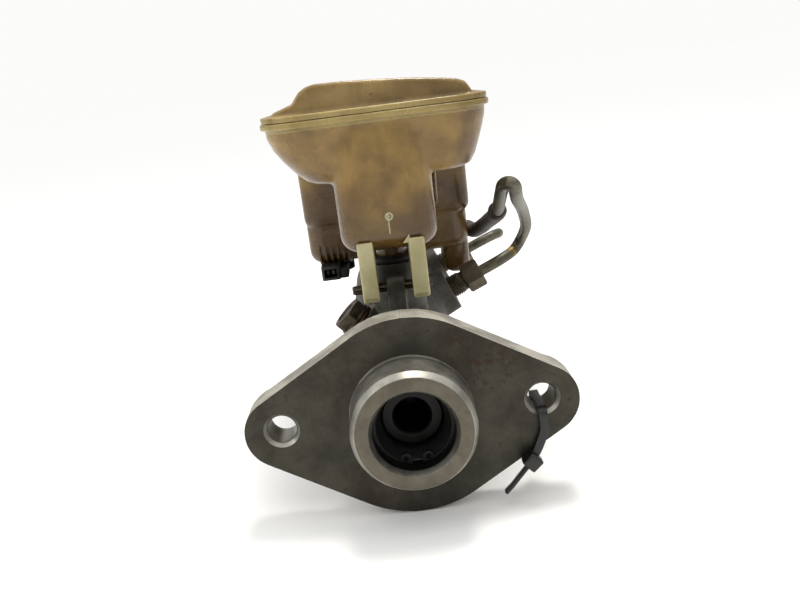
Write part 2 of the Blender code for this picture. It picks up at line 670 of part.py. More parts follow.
def reservoir_lower(mat):
    """Lower moulding: pan, front well and rear tank, two nozzles, lugs and the inside partition."""
    shell = rim_plate("reservoir_lower", RIM_Z[0], RIM_SPLIT - GAP / 2)
    outer = tank_form("_outer", 0.0, RIM_Z[0] + 1.0)
    inner = tank_form("_inner", WALL, RIM_Z[1])
    join(shell, *outer)
    for side in (-1, 1):
        join(shell, reservoir_lug(side))
    for y, top, floor in zip(INLET_Y, INLET_BOSS_TOP, TANK_FLOOR):
        nozzle = [(0, floor + 1.0), (6.6, floor + 1.0), (6.6, floor - 0.2), (5.4, floor - 1.0),
                  (5.4, top - 5.6), (4.9, top - 6.2), (0, top - 6.2)]
        join(shell, turned("nozzle", nozzle, (0, y, 0), ALONG_Z, steps=20, helper=True))
    cut(shell, *inner)
    wall = plate("partition", [(-26.0, 71.6), (30.3, 71.6), (34.2, 82.0), (-33.2, 82.0)], 88.0, 90.0,
                 helper=True)
    join(shell, wall)
    for y, top in zip(INLET_Y, INLET_BOSS_TOP):
        cut(shell, rod("nozzle_bore", 3.7, top - 8.0, top + 30.0, (0, y, 0), ALONG_Z, 16, helper=True))
    cut(shell, rod("lug_hole", PIN_R + GAP, -20.0, 20.0, (0, PIN_Y, PIN_Z), ALONG_X, 14, helper=True))
    cut(shell, rod("sensor_hole", 4.6, 10.0, 32.0, (SENSOR_X, SENSOR_Y, 0), ALONG_Z, 18, helper=True))
    paint(mat, shell)


DOME_OUTSIDE = [(-34.5, 91.8), (32.4, 91.8), (31.1, 94.3), (29.8, 96.2), (27.0, 97.3), (20.0, 98.4),
                (10.9, 99.4), (1.4, 100.1), (-8.0, 100.7), (-17.7, 100.9), (-20.6, 100.3), (-22.9, 99.0),
                (-24.6, 97.0), (-25.6, 95.6), (-31.6, 93.7)]
DOME_INSIDE = [(-28.0, 91.0), (29.8, 91.0), (28.6, 93.6), (26.6, 95.0), (20.0, 96.2), (10.9, 97.2),
               (0.0, 98.0), (-17.4, 98.7), (-21.0, 97.0), (-22.8, 93.7)]


def dome(tag, outline, inset):
    """Raised front of the cover: a low shoulder on its left, then a crowned top that falls to its right."""
    return plate("dome" + tag, outline, 33.0 + inset, 92.0 - inset, helper=True)


def reservoir_upper(mat):
    """Upper moulding: cover with its raised front and the filler neck."""
    cover = rim_plate("reservoir_upper", RIM_SPLIT + GAP / 2, RIM_Z[1])
    raised = dome("_outer", DOME_OUTSIDE, 0.0)
    bevel(raised, 1.0, 2, 60.0)
    join(cover, raised)
    neck = [(0, NECK_TOP), (NECK_R - 0.4, NECK_TOP), (NECK_R, NECK_TOP - 0.4), (NECK_R, 91.0), (0, 91.0)]
    join(cover, turned("neck", neck, (0, NECK_Y, 0), ALONG_Z, steps=36, helper=True))
    cut(cover, dome("_inner", DOME_INSIDE, 2.0))
    cut(cover, block("open_under_dome", (-22.0, 36.0, 88.0), (29.0, 89.5, 92.6), helper=True))
    cut(cover, rod("neck_bore", NECK_R - 2.2, 85.0, 100.0, (0, NECK_Y, 0), ALONG_Z, 36, helper=True))
    paint(mat, cover)


def inlet_grommet(name, mat, y, top):
    """Rubber grommet between a nozzle and its boss."""
    plug_r = INLET_POCKET_R - GAP
    profile = [(5.7, top + 2.2), (8.6, top + 2.2), (9.2, top + 1.7), (9.2, top + GAP), (plug_r, top + GAP),
               (plug_r, top - 6.4), (INLET_POCKET_R - 0.8, top - 7.4), (5.7, top - 7.4)]
    paint(mat, turned(name, profile, (0, y, 0), ALONG_Z, steps=24, ring=True))


def reservoir_pin(mat):
    paint(mat, rod("reservoir_pin", PIN_R, -15.0, 12.6, (0, PIN_Y, PIN_Z), ALONG_X, 12))


def filler_strainer(mat):
    """Basket that hangs in the filler neck."""
    top = NECK_TOP + GAP
    inner = NECK_R - 2.2 - GAP
    collar = NECK_R - 0.5
    profile = [(inner - 1.2, top + 0.9), (collar, top + 0.9), (collar, top), (inner, top), (inner, 84.0),
               (inner - 1.2, 80.0), (0, 80.0), (0, 81.2), (inner - 1.8, 81.2), (inner - 1.2, 84.4)]
    paint(mat, turned("filler_strainer", profile, (0, NECK_Y, 0), ALONG_Z, steps=28, ring=True))


def cap_seal(mat):
    """Rubber diaphragm held in the filler cap."""
    top = NECK_TOP + 2.5
    profile = [(0, top), (NECK_R, top), (NECK_R, top - 1.0), (12.4, top - 1.0), (12.0, top - 2.6),
               (9.2, top - 2.8), (8.2, top - 1.4), (5.4, top - 1.4), (4.6, top - 2.8), (0, top - 2.8)]
    paint(mat, turned("cap_seal", profile, (0, NECK_Y, 0), ALONG_Z, steps=24))


def filler_cap(mat):
    """Low screw cap with grip ribs round its skirt."""
    top = NECK_TOP + 4.9
    profile = [(0, top), (17.5, top), (20.0, top - 0.4), (20.8, top - 1.4), (20.8, RIM_Z[1] + 0.8),
               (NECK_R + 1.6, RIM_Z[1] + 0.8), (NECK_R + 1.6, top - 4.4), (NECK_R + 0.5, top - 3.6),
               (NECK_R + 0.5, top - 2.0), (0, top - 2.0)]
    paint(mat, turned("filler_cap", profile, (0, NECK_Y, 0), ALONG_Z, steps=36))


def level_sensor(mat):
    """Float switch: stem into the rear tank, head under its floor and the plug housing."""
    floor = TANK_FLOOR[1]
    profile = [(0, 62.0), (2.6, 62.0), (3.2, 61.4), (3.2, floor + 3.0), (4.3, floor + 2.6),
               (4.3, floor - GAP), (6.8, floor - GAP), (6.8, floor - 5.0), (0, floor - 5.0)]
    sensor = turned("level_sensor", profile, (SENSOR_X, SENSOR_Y, 0), ALONG_Z, steps=20)
    housing = block("plug_housing", (SENSOR_X - 7.0, 108.0, floor - 5.5),
                    (SENSOR_X + 1.0, 126.0, floor + 0.8), helper=True)
    low_part = block("plug_latch", (SENSOR_X - 1.0, 110.0, floor - 5.5),
                     (SENSOR_X + 4.5, 126.0, floor - 0.9), helper=True)
    for piece in (housing, low_part):
        bevel(piece, 0.6, 1)
    cut(housing, block("above_floor", (SENSOR_X - 12, 114.8, floor - GAP), (SENSOR_X + 8, 130, floor + 4),
                       helper=True))
    join(sensor, housing, low_part)
    cut(sensor, block("plug_mouth", (SENSOR_X - 5.8, 100.0, floor - 4.3),
                      (SENSOR_X - 0.4, 117.0, floor - 0.6), helper=True))
    paint(mat, sensor)


def level_float(mat):
    """Ring float that rides on the sensor's stem."""
    low = 29.5
    profile = [(4.0, low + 9.0), (7.4, low + 9.0), (8.2, low + 8.2), (8.2, low + 0.8), (7.4, low),
               (4.0, low)]
    paint(mat, turned("level_float", profile, (SENSOR_X, SENSOR_Y, 0), ALONG_Z, steps=24, ring=True))


# ---------------------------------------------------------------- tie

TIE_X = 40.0
TIE_WIDTH = 2.8
TIE_THICK = 1.0
TIE_LOOP = [(-1.3, -15.5), (-1.4, -10.0), (-1.3, -5.8), (-0.9, -4.2), (0.3, -3.4), (3.0, -3.3),
            (10.5, -3.3), (13.5, -3.2), (14.6, -4.5), (14.6, -10.5), (13.6, -15.6), (9.5, -18.7),
            (4.0, -20.0), (-0.4, -19.6), (-1.5, -17.8)]
TIE_HEAD_TURN = 48.0          # degrees
TIE_LEAN_FROM = -12.0         # height below which the loop leans towards the middle of the flange
TIE_LEAN = 0.62
TIE_TAIL = [(34.6, -2.6, -20.0), (31.6, -2.7, -23.2), (28.6, -2.7, -26.6), (26.3, -2.4, -29.0)]
TIE_HEAD = (35.3, -2.7, -19.3)


def offset_loop(points, distance):
    """Closed outline moved sideways by a distance, outwards if positive and the loop is clockwise."""
    moved = []
    for i, (u, v) in enumerate(points):
        before, after = points[i - 1], points[(i + 1) % len(points)]
        along = Vector((after[0] - before[0], after[1] - before[1])).normalized()
        moved.append((u - along.y * distance, v + along.x * distance))
    return moved


def tie_loop():
    """Strap through the bolt hole and round the flange, leaning over at its lower end."""
    outer = offset_loop(TIE_LOOP, TIE_THICK / 2)
    inner = offset_loop(TIE_LOOP, -TIE_THICK / 2)
    strap = plate("tie_loop", outer, TIE_X - TIE_WIDTH / 2, TIE_X + TIE_WIDTH / 2, "x", True, inner)
    for vert in strap.data.vertices:
        place = strap.matrix_world @ vert.co
        place.x += min(place.z - TIE_LEAN_FROM * MM, 0.0) * TIE_LEAN
        vert.co = strap.matrix_world.inverted() @ place
    return strap


def cable_tie(mat):
    """Nylon tie looped through the right bolt hole, as one moulding with its head."""
    head = block("cable_tie", (-2.4, -2.0, -2.2), (2.4, 2.0, 2.2))
    bevel(head, 0.5, 1)
    turn = Matrix.Rotation(math.radians(TIE_HEAD_TURN), 4, "Y")
    head.matrix_world = Matrix.Translation(Vector(TIE_HEAD) * MM) @ turn
    tail = wire("tie_tail", smooth_path([Vector(p) for p in TIE_TAIL], 3.0), 0.5, 1, flat=0.9,
                tilt=math.radians(90), helper=True)
    join(head, tie_loop(), mesh_of(refreshed(tail)))
    paint(mat, head)


# ---------------------------------------------------------------- assembly

def build():
    start_scene()
    cast = material("cast_aluminium", (0.30, 0.29, 0.26), 0.5, 0.9)
    piston_metal = material("anodised_aluminium", (0.16, 0.16, 0.15), 0.4, 0.9)
    steel = material("plated_steel", (0.23, 0.21, 0.17), 0.4, 0.9)
    spring_steel = material("spring_steel", (0.20, 0.20, 0.20), 0.35, 0.95)
    brass = material("brass", (0.55, 0.42, 0.20), 0.4, 0.9)
    copper = material("soft_copper", (0.50, 0.28, 0.18), 0.45, 0.9)
    tube_steel = material("coated_tube", (0.33, 0.32, 0.26), 0.45, 0.6)
    rubber = material("black_rubber", (0.02, 0.02, 0.02), 0.7)
    black = material("black_plastic", (0.03, 0.03, 0.03), 0.5)
    nylon = material("reservoir_plastic", (0.62, 0.50, 0.30), 0.35, 0.0, 0.75)
    strainer = material("strainer_plastic", (0.70, 0.68, 0.58), 0.45)
    foam = material("float_foam", (0.10, 0.09, 0.08), 0.8)

    cylinder_body(cast)
    guide_bush(black)
    snap_ring(spring_steel)
    primary_piston(piston_metal)
    cup("primary_rear_seal", rubber, 8.7, 5.2, 3.5)
    cup("primary_cup", rubber, 6.8, PRIMARY_WAIST[1] + 2.8, 3.9)
    spring_bolt(steel)
    spring_retainer(steel)
    coil("primary_spring", spring_steel, 7.0, 1.1, PRIMARY_NOSE + 1.4, SECONDARY_REAR - 2.7, 7)
    secondary_piston(piston_metal)
    cup("secondary_rear_cup", rubber, 7.3, 112.1, 3.6)
    cup("secondary_front_cup", rubber, 6.8, SECONDARY_WAIST[1] + 1.8, 3.5)
    coil("secondary_spring", spring_steel, 6.6, 0.9, SECONDARY_NOSE + 1.2, BORE_END - 1.3, 6)

    stopper = (0, STOPPER_Y, 0)
    threaded_plug("stopper_bolt", steel, stopper, (0, 0, -1), STOPPER_FACE, 10.0, 4.0, 3.0, 8.4, 2.0)
    gasket("stopper_gasket", copper, stopper, (0, 0, -1), STOPPER_FACE, 3.4, 5.6)
    plug = (0, PLUG_Y, 0)
    threaded_plug("side_plug", steel, plug, radial(PLUG_ANGLE), PLUG_FACE, 12.0, 4.4, 4.0, 15.6)
    gasket("side_plug_gasket", copper, plug, radial(PLUG_ANGLE), PLUG_FACE, 4.4, 6.8)

    for name, y in zip(("primary", "secondary"), OUTLET_Y):
        outlet_seat("outlet_seat_" + name, brass, y)
        flare_nut("flare_nut_" + name, steel, y)
    brake_tubes(tube_steel)
    tube_sleeve(rubber)

    reservoir_lower(nylon)
    reservoir_upper(nylon)
    for name, y, top in zip(("front", "rear"), INLET_Y, INLET_BOSS_TOP):
        inlet_grommet("inlet_grommet_" + name, rubber, y, top)
    reservoir_pin(steel)
    filler_strainer(strainer)
    cap_seal(rubber)
    filler_cap(black)
    level_sensor(black)
    level_float(foam)
    cable_tie(black)


build()
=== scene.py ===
"""Looks of the tandem brake master cylinder: detailed pieces, materials, light and camera.

Everything is in the frame of the CAD model. Sizes here are in millimetres and become metres in the
helpers. The bore axis is +Y, the flange face is y = 0, and the outlets are on the +X side.
"""
import math

import bmesh
import bpy
import numpy as np
from mathutils import Matrix, Vector


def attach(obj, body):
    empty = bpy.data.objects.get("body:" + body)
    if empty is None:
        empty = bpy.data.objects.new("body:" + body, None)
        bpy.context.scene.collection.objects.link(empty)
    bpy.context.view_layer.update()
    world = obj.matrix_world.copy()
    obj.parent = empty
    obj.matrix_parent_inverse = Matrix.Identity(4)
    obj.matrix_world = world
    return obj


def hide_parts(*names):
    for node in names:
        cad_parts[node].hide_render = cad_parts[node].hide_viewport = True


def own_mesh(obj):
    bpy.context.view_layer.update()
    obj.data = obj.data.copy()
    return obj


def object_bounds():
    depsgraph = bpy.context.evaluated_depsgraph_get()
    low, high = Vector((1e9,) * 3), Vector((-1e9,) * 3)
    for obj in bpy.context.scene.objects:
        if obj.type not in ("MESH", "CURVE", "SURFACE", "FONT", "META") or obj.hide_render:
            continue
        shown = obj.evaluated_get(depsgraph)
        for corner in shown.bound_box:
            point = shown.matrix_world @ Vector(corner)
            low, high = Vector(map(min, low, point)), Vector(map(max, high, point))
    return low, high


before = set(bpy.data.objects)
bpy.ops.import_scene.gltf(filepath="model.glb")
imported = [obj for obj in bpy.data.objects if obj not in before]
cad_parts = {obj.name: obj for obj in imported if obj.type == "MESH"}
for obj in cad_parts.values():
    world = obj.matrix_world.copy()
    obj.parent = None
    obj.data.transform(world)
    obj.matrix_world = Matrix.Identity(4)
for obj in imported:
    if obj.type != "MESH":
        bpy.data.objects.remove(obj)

CAD_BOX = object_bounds()
MM = 0.001
ALONG_X, ALONG_Y, ALONG_Z = (1, 0, 0), (0, 1, 0), (0, 0, 1)
ORIGIN = (0, 0, 0)

# Sizes shared with the CAD model
GAP = 0.3
BOLT_X, BOLT_HOLE_R, FLANGE_THICK, LOBE_R, BOSS_BACK = 40.4, 4.5, 9.7, 11.6, 12.4
LOBE_DROP = 0.9
FLANGE_TOP_R, FLANGE_BOTTOM_R = 31.2, 33.2
PILOT_R, PILOT_FRONT = 19.0, -15.0
BARREL_R, BARREL_END = 19.75, 173.0
MOUTH_R, COUNTERBORE_R, BORE_R, BORE_END = 13.5, 12.45, 11.15, 167.0
PISTON_R = BORE_R - GAP
SNAP_GROOVE = (-9.0, -7.7)
PRIMARY_WAIST, PRIMARY_NOSE = (14.0, 55.0), 63.5
SECONDARY_REAR, SECONDARY_WAIST, SECONDARY_NOSE = 110.0, (117.5, 136.5), 143.5
SOCKET_R = 5.6
OUTLET_Y, OUTLET_ANGLE = (107.0, 155.0), 23.0
OUTLET_BOSS_R, OUTLET_FACE, OUTLET_THREAD_R, TUBE_R = 9.5, 25.7, 4.9, 2.38
PLUG_Y, PLUG_ANGLE, PLUG_FACE = 52.0, 133.0, 21.8
STOPPER_Y, STOPPER_FACE = 134.2, 22.5
INLET_Y, INLET_BOSS_TOP, INLET_POCKET_R = (57.0, 134.0), (37.0, 21.5), 8.6
TANK_FLOOR, WELL_FRONT = (45.6, 25.0), 27.8
PIN_Y, PIN_Z, PIN_R = 40.0, 31.0, 1.6
LUG_INNER, LUG_OUTER = 5.8, 11.1
WALL = 2.4
RIM_X, RIM_Y, RIM_Z, RIM_SPLIT = 37.3, (25.0, 150.0), (88.3, 92.3), 90.3
SENSOR_X, SENSOR_Y = -24.0, 128.0
NECK_Y, NECK_R, NECK_TOP = 118.0, 17.0, 93.9
THREAD_PITCH = 1.0


# ---------------------------------------------------------------- mesh helpers

def facing(point, direction):
    """Matrix that stands local +Z on direction, at a point in millimetres."""
    turn = Vector(direction).to_track_quat("Z", "Y").to_matrix().to_4x4()
    return Matrix.Translation(Vector(point) * MM) @ turn


def radial(angle):
    """Direction across the bore, in degrees above +X."""
    return (math.cos(math.radians(angle)), 0.0, math.sin(math.radians(angle)))


def placed(name, mesh):
    obj = bpy.data.objects.new(name, mesh)
    bpy.context.scene.collection.objects.link(obj)
    return obj


def solid(name, verts, faces):
    """Object at the origin from points in metres, with its normals outwards."""
    mesh = bpy.data.meshes.new(name)
    mesh.from_pydata(verts, [], faces)
    bm = bmesh.new()
    bm.from_mesh(mesh)
    bmesh.ops.recalc_face_normals(bm, faces=bm.faces)
    bm.to_mesh(mesh)
    bm.free()
    return placed(name, mesh)


def rounded(profile, radius, closed):
    """Profile with its corners rounded. A third number in a point is that corner's own radius."""
    out = []
    for i, point in enumerate(profile):
        here = Vector(point[:2])
        if not closed and i in (0, len(profile) - 1):
            out.append(here)
            continue
        back = Vector(profile[i - 1][:2]) - here
        ahead = Vector(profile[(i + 1) % len(profile)][:2]) - here
        reach = min(point[2] if len(point) > 2 else radius, back.length * 0.45, ahead.length * 0.45)
        if reach < 0.02 or back.angle(ahead) > math.radians(168):
            out.append(here)
            continue
        first, last = here + back.normalized() * reach, here + ahead.normalized() * reach
        for k in range(4):
            t = k / 3
            out.append(first * (1 - t) ** 2 + here * 2 * t * (1 - t) + last * t * t)
    return out


def lathe(name, profile, point=ORIGIN, direction=ALONG_Y, steps=72, closed=False, fillet=0.2):
    """Solid of revolution from (radius, distance) points. A closed profile makes a ring."""
    stand = facing(point, direction)
    verts, faces, rings = [], [], []
    for r, d in rounded(profile, fillet, closed):
        first = len(verts)
        if r < 1e-6:
            verts.append(stand @ Vector((0, 0, d * MM)))
            rings.append([first])
            continue
        for k in range(steps):
            angle = 2 * math.pi * k / steps
            verts.append(stand @ Vector((r * math.cos(angle) * MM, r * math.sin(angle) * MM, d * MM)))
        rings.append(list(range(first, first + steps)))
    pairs = list(zip(rings, rings[1:])) + ([(rings[-1], rings[0])] if closed else [])
    for low, high in pairs:
        for k in range(steps if len(low) + len(high) > 2 else 0):
            j = (k + 1) % steps
            if len(low) == 1:
                faces.append((low[0], high[j], high[k]))
            elif len(high) == 1:
                faces.append((low[k], low[j], high[0]))
            else:
                faces.append((low[k], low[j], high[j], high[k]))
    return solid(name, verts, faces)


def rod(name, radius, start, end, point=ORIGIN, direction=ALONG_Y, steps=48, fillet=0.0):
    return lathe(name, [(0, end), (radius, end), (radius, start), (0, start)], point, direction, steps,
                 fillet=fillet)


def ring(name, inner, outer, start, end, point=ORIGIN, direction=ALONG_Y, steps=64, fillet=0.15):
    profile = [(inner, end), (outer, end), (outer, start), (inner, start)]
    return lathe(name, profile, point, direction, steps, True, fillet)


def skin(name, loops, ends=True):
    """Surface through loops of points in millimetres."""
    count = len(loops[0])
    verts = [p * MM for loop in loops for p in loop]
    faces = []
    rows = len(loops) if ends else len(loops) + 1
    for i in range(rows - 1):
        a, b = i * count, ((i + 1) % len(loops)) * count
        for k in range(count):
            j = (k + 1) % count
            faces.append((a + k, a + j, b + j, b + k))
    if ends:
        faces.append(tuple(range(count)))
        faces.append(tuple(reversed(range((len(loops) - 1) * count, len(loops) * count))))
    return solid(name, verts, faces)


def sweep(name, points, radius, sides=24, section=None, side=None, closed=False):
    """Tube, or with a section a strap, along points. The radius may be a list."""
    loops = []
    count = len(points)
    for i, point in enumerate(points):
        before = points[i - 1] if closed or i else point
        after = points[(i + 1) % count] if closed or i < count - 1 else point
        along = (after - before).normalized()
        side = along.orthogonal() if side is None else side - along * side.dot(along)
        side = side.normalized()
        other = along.cross(side)
        r = radius[i] if isinstance(radius, list) else radius
        if section:
            loops.append([point + side * u + other * v for u, v in section])
        else:
            turn = [2 * math.pi * k / sides for k in range(sides)]
            loops.append([point + (side * math.cos(a) + other * math.sin(a)) * r for a in turn])
    return skin(name, loops, not closed)


def smooth_path(route, spacing, closed=False):
    """Evenly spaced points on a smooth curve through the route's points."""
    if closed:
        ends = [route[-1]] + route + route[:2]
    else:
        ends = [route[0] * 2 - route[1]] + route + [route[-1] * 2 - route[-2]]
    fine = []
    for i in range(1, len(ends) - 2):
        before, here, there, after = ends[i - 1:i + 3]
        for step in range(24):
            t = step / 24
            fine.append(0.5 * (2 * here + (there - before) * t
                               + (2 * before - 5 * here + 4 * there - after) * t * t
                               + (3 * here - before - 3 * there + after) * t * t * t))
    points = [fine[0]]
    for point in fine[1:]:
        if (point - points[-1]).length >= spacing:
            points.append(point)
    if not closed:
        points.append(route[-1])
    return points


def arc(centre, radius, start, end, count):
    points = []
    for i in range(count + 1):
        angle = math.radians(start + (end - start) * i / count)
        points.append((centre[0] + radius * math.cos(angle), centre[1] + radius * math.sin(angle)))
    return points


def rounded_box(left, right, front, back, radius, count):
    """Outline of a rectangle with rounded corners, from its front right corner round to the left."""
    return (arc((right - radius, front + radius), radius, -90, 0, count)
            + arc((right - radius, back - radius), radius, 0, 90, count)
            + arc((left + radius, back - radius), radius, 90, 180, count)
            + arc((left + radius, front + radius), radius, 180, 270, count))


def slab(name, outline, start, end, normal="y", edge=0.0, segments=3):
    """Flat outline extruded along its normal, with its rims rounded."""
    place = {"x": lambda u, v, w: (w, u, v), "y": lambda u, v, w: (u, w, v),
             "z": lambda u, v, w: (u, v, w)}[normal]
    mesh = bpy.data.meshes.new(name)
    bm = bmesh.new()
    rims = []
    for w in (start, end):
        rims.append([bm.verts.new(Vector(place(u, v, w)) * MM) for u, v in outline])
    caps = [bm.faces.new(rims[0]), bm.faces.new(list(reversed(rims[1])))]
    for k in range(len(outline)):
        j = (k + 1) % len(outline)
        bm.faces.new((rims[0][j], rims[0][k], rims[1][k], rims[1][j]))
    bmesh.ops.recalc_face_normals(bm, faces=bm.faces)
    if edge:
        edges = [e for face in caps for e in face.edges]
        bmesh.ops.bevel(bm, geom=edges, offset=edge * MM, segments=segments, profile=0.5,
                        affect="EDGES", clamp_overlap=True)
    bm.to_mesh(mesh)
    bm.free()
    return placed(name, mesh)


def brick(name, low, high, corner=0.0, floor=0.0, segments=6, ceiling=0.0):
    """Box with rounded upright edges, and rounded floor and ceiling edges if given."""
    mesh = bpy.data.meshes.new(name)
    bm = bmesh.new()
    bmesh.ops.create_cube(bm, size=1.0)
    for vert in bm.verts:
        for axis in range(3):
            vert.co[axis] = (low[axis] if vert.co[axis] < 0 else high[axis]) * MM
    if corner:
        upright = [e for e in bm.edges if abs(e.verts[0].co.z - e.verts[1].co.z) > 1e-6]
        bmesh.ops.bevel(bm, geom=upright, offset=corner * MM, segments=segments, profile=0.5,
                        affect="EDGES", clamp_overlap=True)
    for size, level in ((floor, low[2]), (ceiling, high[2])):
        if size:
            flat = [e for e in bm.edges if all(abs(v.co.z - level * MM) < 1e-6 for v in e.verts)]
            bmesh.ops.bevel(bm, geom=flat, offset=size * MM, segments=segments, profile=0.5,
                            affect="EDGES", clamp_overlap=True)
    bm.to_mesh(mesh)
    bm.free()
    return placed(name, mesh)


def settle(obj):
    """Applies all modifiers."""
    bpy.context.view_layer.update()
    depsgraph = bpy.context.evaluated_depsgraph_get()
    mesh = bpy.data.meshes.new_from_object(obj.evaluated_get(depsgraph))
    mesh.transform(obj.matrix_world)
    obj.modifiers.clear()
    obj.data = mesh
    obj.matrix_world = Matrix.Identity(4)
    return obj


def combine(obj, others, operation):
    """Boolean with closed pieces, one after another."""
    for other in others:
        modifier = obj.modifiers.new(other.name, "BOOLEAN")
        modifier.operation = operation
        modifier.object = other
        modifier.solver = "MANIFOLD"
    settle(obj)
    for other in others:
        bpy.data.objects.remove(other)
    return obj


def cut(obj, *others):
    return combine(obj, others, "DIFFERENCE")


def join(obj, *others):
    return combine(obj, others, "UNION")


def fuse(name, parts, voxel, rounds):
    """Melts overlapping solids into one smooth skin, as a casting or moulding has."""
    bm = bmesh.new()
    for part in parts:
        part.data.transform(part.matrix_world)
        bm.from_mesh(part.data)
        bpy.data.objects.remove(part)
    mesh = bpy.data.meshes.new(name)
    bm.to_mesh(mesh)
    bm.free()
    obj = placed(name, mesh)
    remesh = obj.modifiers.new("skin", "REMESH")
    remesh.mode = "VOXEL"
    remesh.voxel_size = voxel * MM
    soften = obj.modifiers.new("soften", "SMOOTH")
    soften.factor = 0.5
    soften.iterations = rounds
    return settle(obj)


def dress(obj, body, replaced, materials, choose=None, sharp=32.0):
    """Gives a finished piece its shading, materials and place in the frame."""
    mesh = obj.data
    mesh.materials.clear()
    for mat in materials:
        mesh.materials.append(mat)
    index = np.zeros(len(mesh.polygons), np.int32)
    if choose:
        centres = np.empty(len(mesh.polygons) * 3)
        normals = np.empty(len(mesh.polygons) * 3)
        mesh.polygons.foreach_get("center", centres)
        mesh.polygons.foreach_get("normal", normals)
        index = choose(centres.reshape(-1, 3).T / MM, normals.reshape(-1, 3).T).astype(np.int32)
    mesh.polygons.foreach_set("material_index", index)
    mesh.shade_smooth()
    mesh.set_sharp_from_angle(angle=math.radians(sharp))
    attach(obj, body)
    if replaced:
        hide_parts(*replaced)
    return obj


# ---------------------------------------------------------------- material helpers

def tone(red, green, blue):
    """Linear colour from a 0-255 one."""
    return tuple(((c / 255 + 0.055) / 1.055) ** 2.4 if c > 10 else c / 255 / 12.92
                 for c in (red, green, blue)) + (1.0,)


class Paint:
    """Small builder for one procedural material."""

    def __init__(self, name, metallic=0.0, **sockets):
        self.material = bpy.data.materials.new(name)
        self.material.use_nodes = True
        self.tree = self.material.node_tree
        self.shader = self.tree.nodes["Principled BSDF"]
        self.shader.inputs["Metallic"].default_value = metallic
        for socket, value in sockets.items():
            self.shader.inputs[socket.replace("_", " ")].default_value = value
        self.place = self.node("ShaderNodeTexCoord").outputs["Object"]

    def node(self, kind, **settings):
        node = self.tree.nodes.new(kind)
        for key, value in settings.items():
            setattr(node, key, value)
        return node

    def feed(self, socket, value):
        if isinstance(value, bpy.types.NodeSocket):
            self.tree.links.new(value, socket)
        else:
            socket.default_value = value

    def noise(self, size, detail=4.0, rough=0.55, warp=0.0, stretch=(1, 1, 1)):
        """Noise with features of a size in millimetres, from 0 to 1."""
        vector = self.place
        if stretch != (1, 1, 1):
            scale = self.node("ShaderNodeVectorMath", operation="MULTIPLY")
            self.feed(scale.inputs[0], self.place)
            scale.inputs[1].default_value = stretch
            vector = scale.outputs[0]
        node = self.node("ShaderNodeTexNoise")
        self.feed(node.inputs["Vector"], vector)
        node.inputs["Scale"].default_value = 1 / (size * MM)
        node.inputs["Detail"].default_value = detail
        node.inputs["Roughness"].default_value = rough
        node.inputs["Distortion"].default_value = warp
        return node.outputs["Fac"]

    def spread(self, value, low, high, out_low=0.0, out_high=1.0):
        """Smooth step between two levels."""
        node = self.node("ShaderNodeMapRange", interpolation_type="SMOOTHSTEP")
        self.feed(node.inputs["Value"], value)
        for socket, number in zip(("From Min", "From Max", "To Min", "To Max"),
                                  (low, high, out_low, out_high)):
            node.inputs[socket].default_value = number
        return node.outputs["Result"]

    def calc(self, operation, a, b=0.0):
        node = self.node("ShaderNodeMath", operation=operation)
        self.feed(node.inputs[0], a)
        self.feed(node.inputs[1], b)
        return node.outputs[0]

    def scaled(self, value, factor, offset):
        """Value times a factor, plus an offset."""
        node = self.node("ShaderNodeMath", operation="MULTIPLY_ADD")
        for socket, number in zip(node.inputs, (value, factor, offset)):
            self.feed(socket, number)
        return node.outputs[0]

    def mix(self, factor, a, b):
        node = self.node("ShaderNodeMix", data_type="RGBA")
        self.feed(node.inputs["Factor"], factor)
        self.feed(node.inputs[6], a)
        self.feed(node.inputs[7], b)
        return node.outputs[2]

    def axis(self, name):
        node = self.node("ShaderNodeSeparateXYZ")
        self.feed(node.inputs[0], self.place)
        return node.outputs[name]

    def distance(self, point, flatten=(1, 1, 1)):
        """Distance in metres from a point in millimetres, with axes left out if flatten is 0."""
        shift = self.node("ShaderNodeVectorMath", operation="SUBTRACT")
        self.feed(shift.inputs[0], self.place)
        shift.inputs[1].default_value = Vector(point) * MM
        flat = self.node("ShaderNodeVectorMath", operation="MULTIPLY")
        self.feed(flat.inputs[0], shift.outputs[0])
        flat.inputs[1].default_value = flatten
        length = self.node("ShaderNodeVectorMath", operation="LENGTH")
        self.feed(length.inputs[0], flat.outputs[0])
        return length.outputs["Value"]

    def worn(self, low=0.5, high=0.58):
        """1 on convex edges."""
        node = self.node("ShaderNodeNewGeometry")
        return self.spread(node.outputs["Pointiness"], low, high)

    def colour(self, value):
        self.feed(self.shader.inputs["Base Color"], value)

    def rough(self, value):
        self.feed(self.shader.inputs["Roughness"], value)

    def bump(self, *layers):
        """Layers of (height 0 to 1, depth in millimetres)."""
        total = None
        for height, depth in layers:
            scaled = self.calc("MULTIPLY", height, depth * MM)
            total = scaled if total is None else self.calc("ADD", total, scaled)
        node = self.node("ShaderNodeBump")
        node.inputs["Strength"].default_value = 1.0
        node.inputs["Distance"].default_value = 1.0
        self.feed(node.inputs["Height"], total)
        self.feed(self.shader.inputs["Normal"], node.outputs[0])


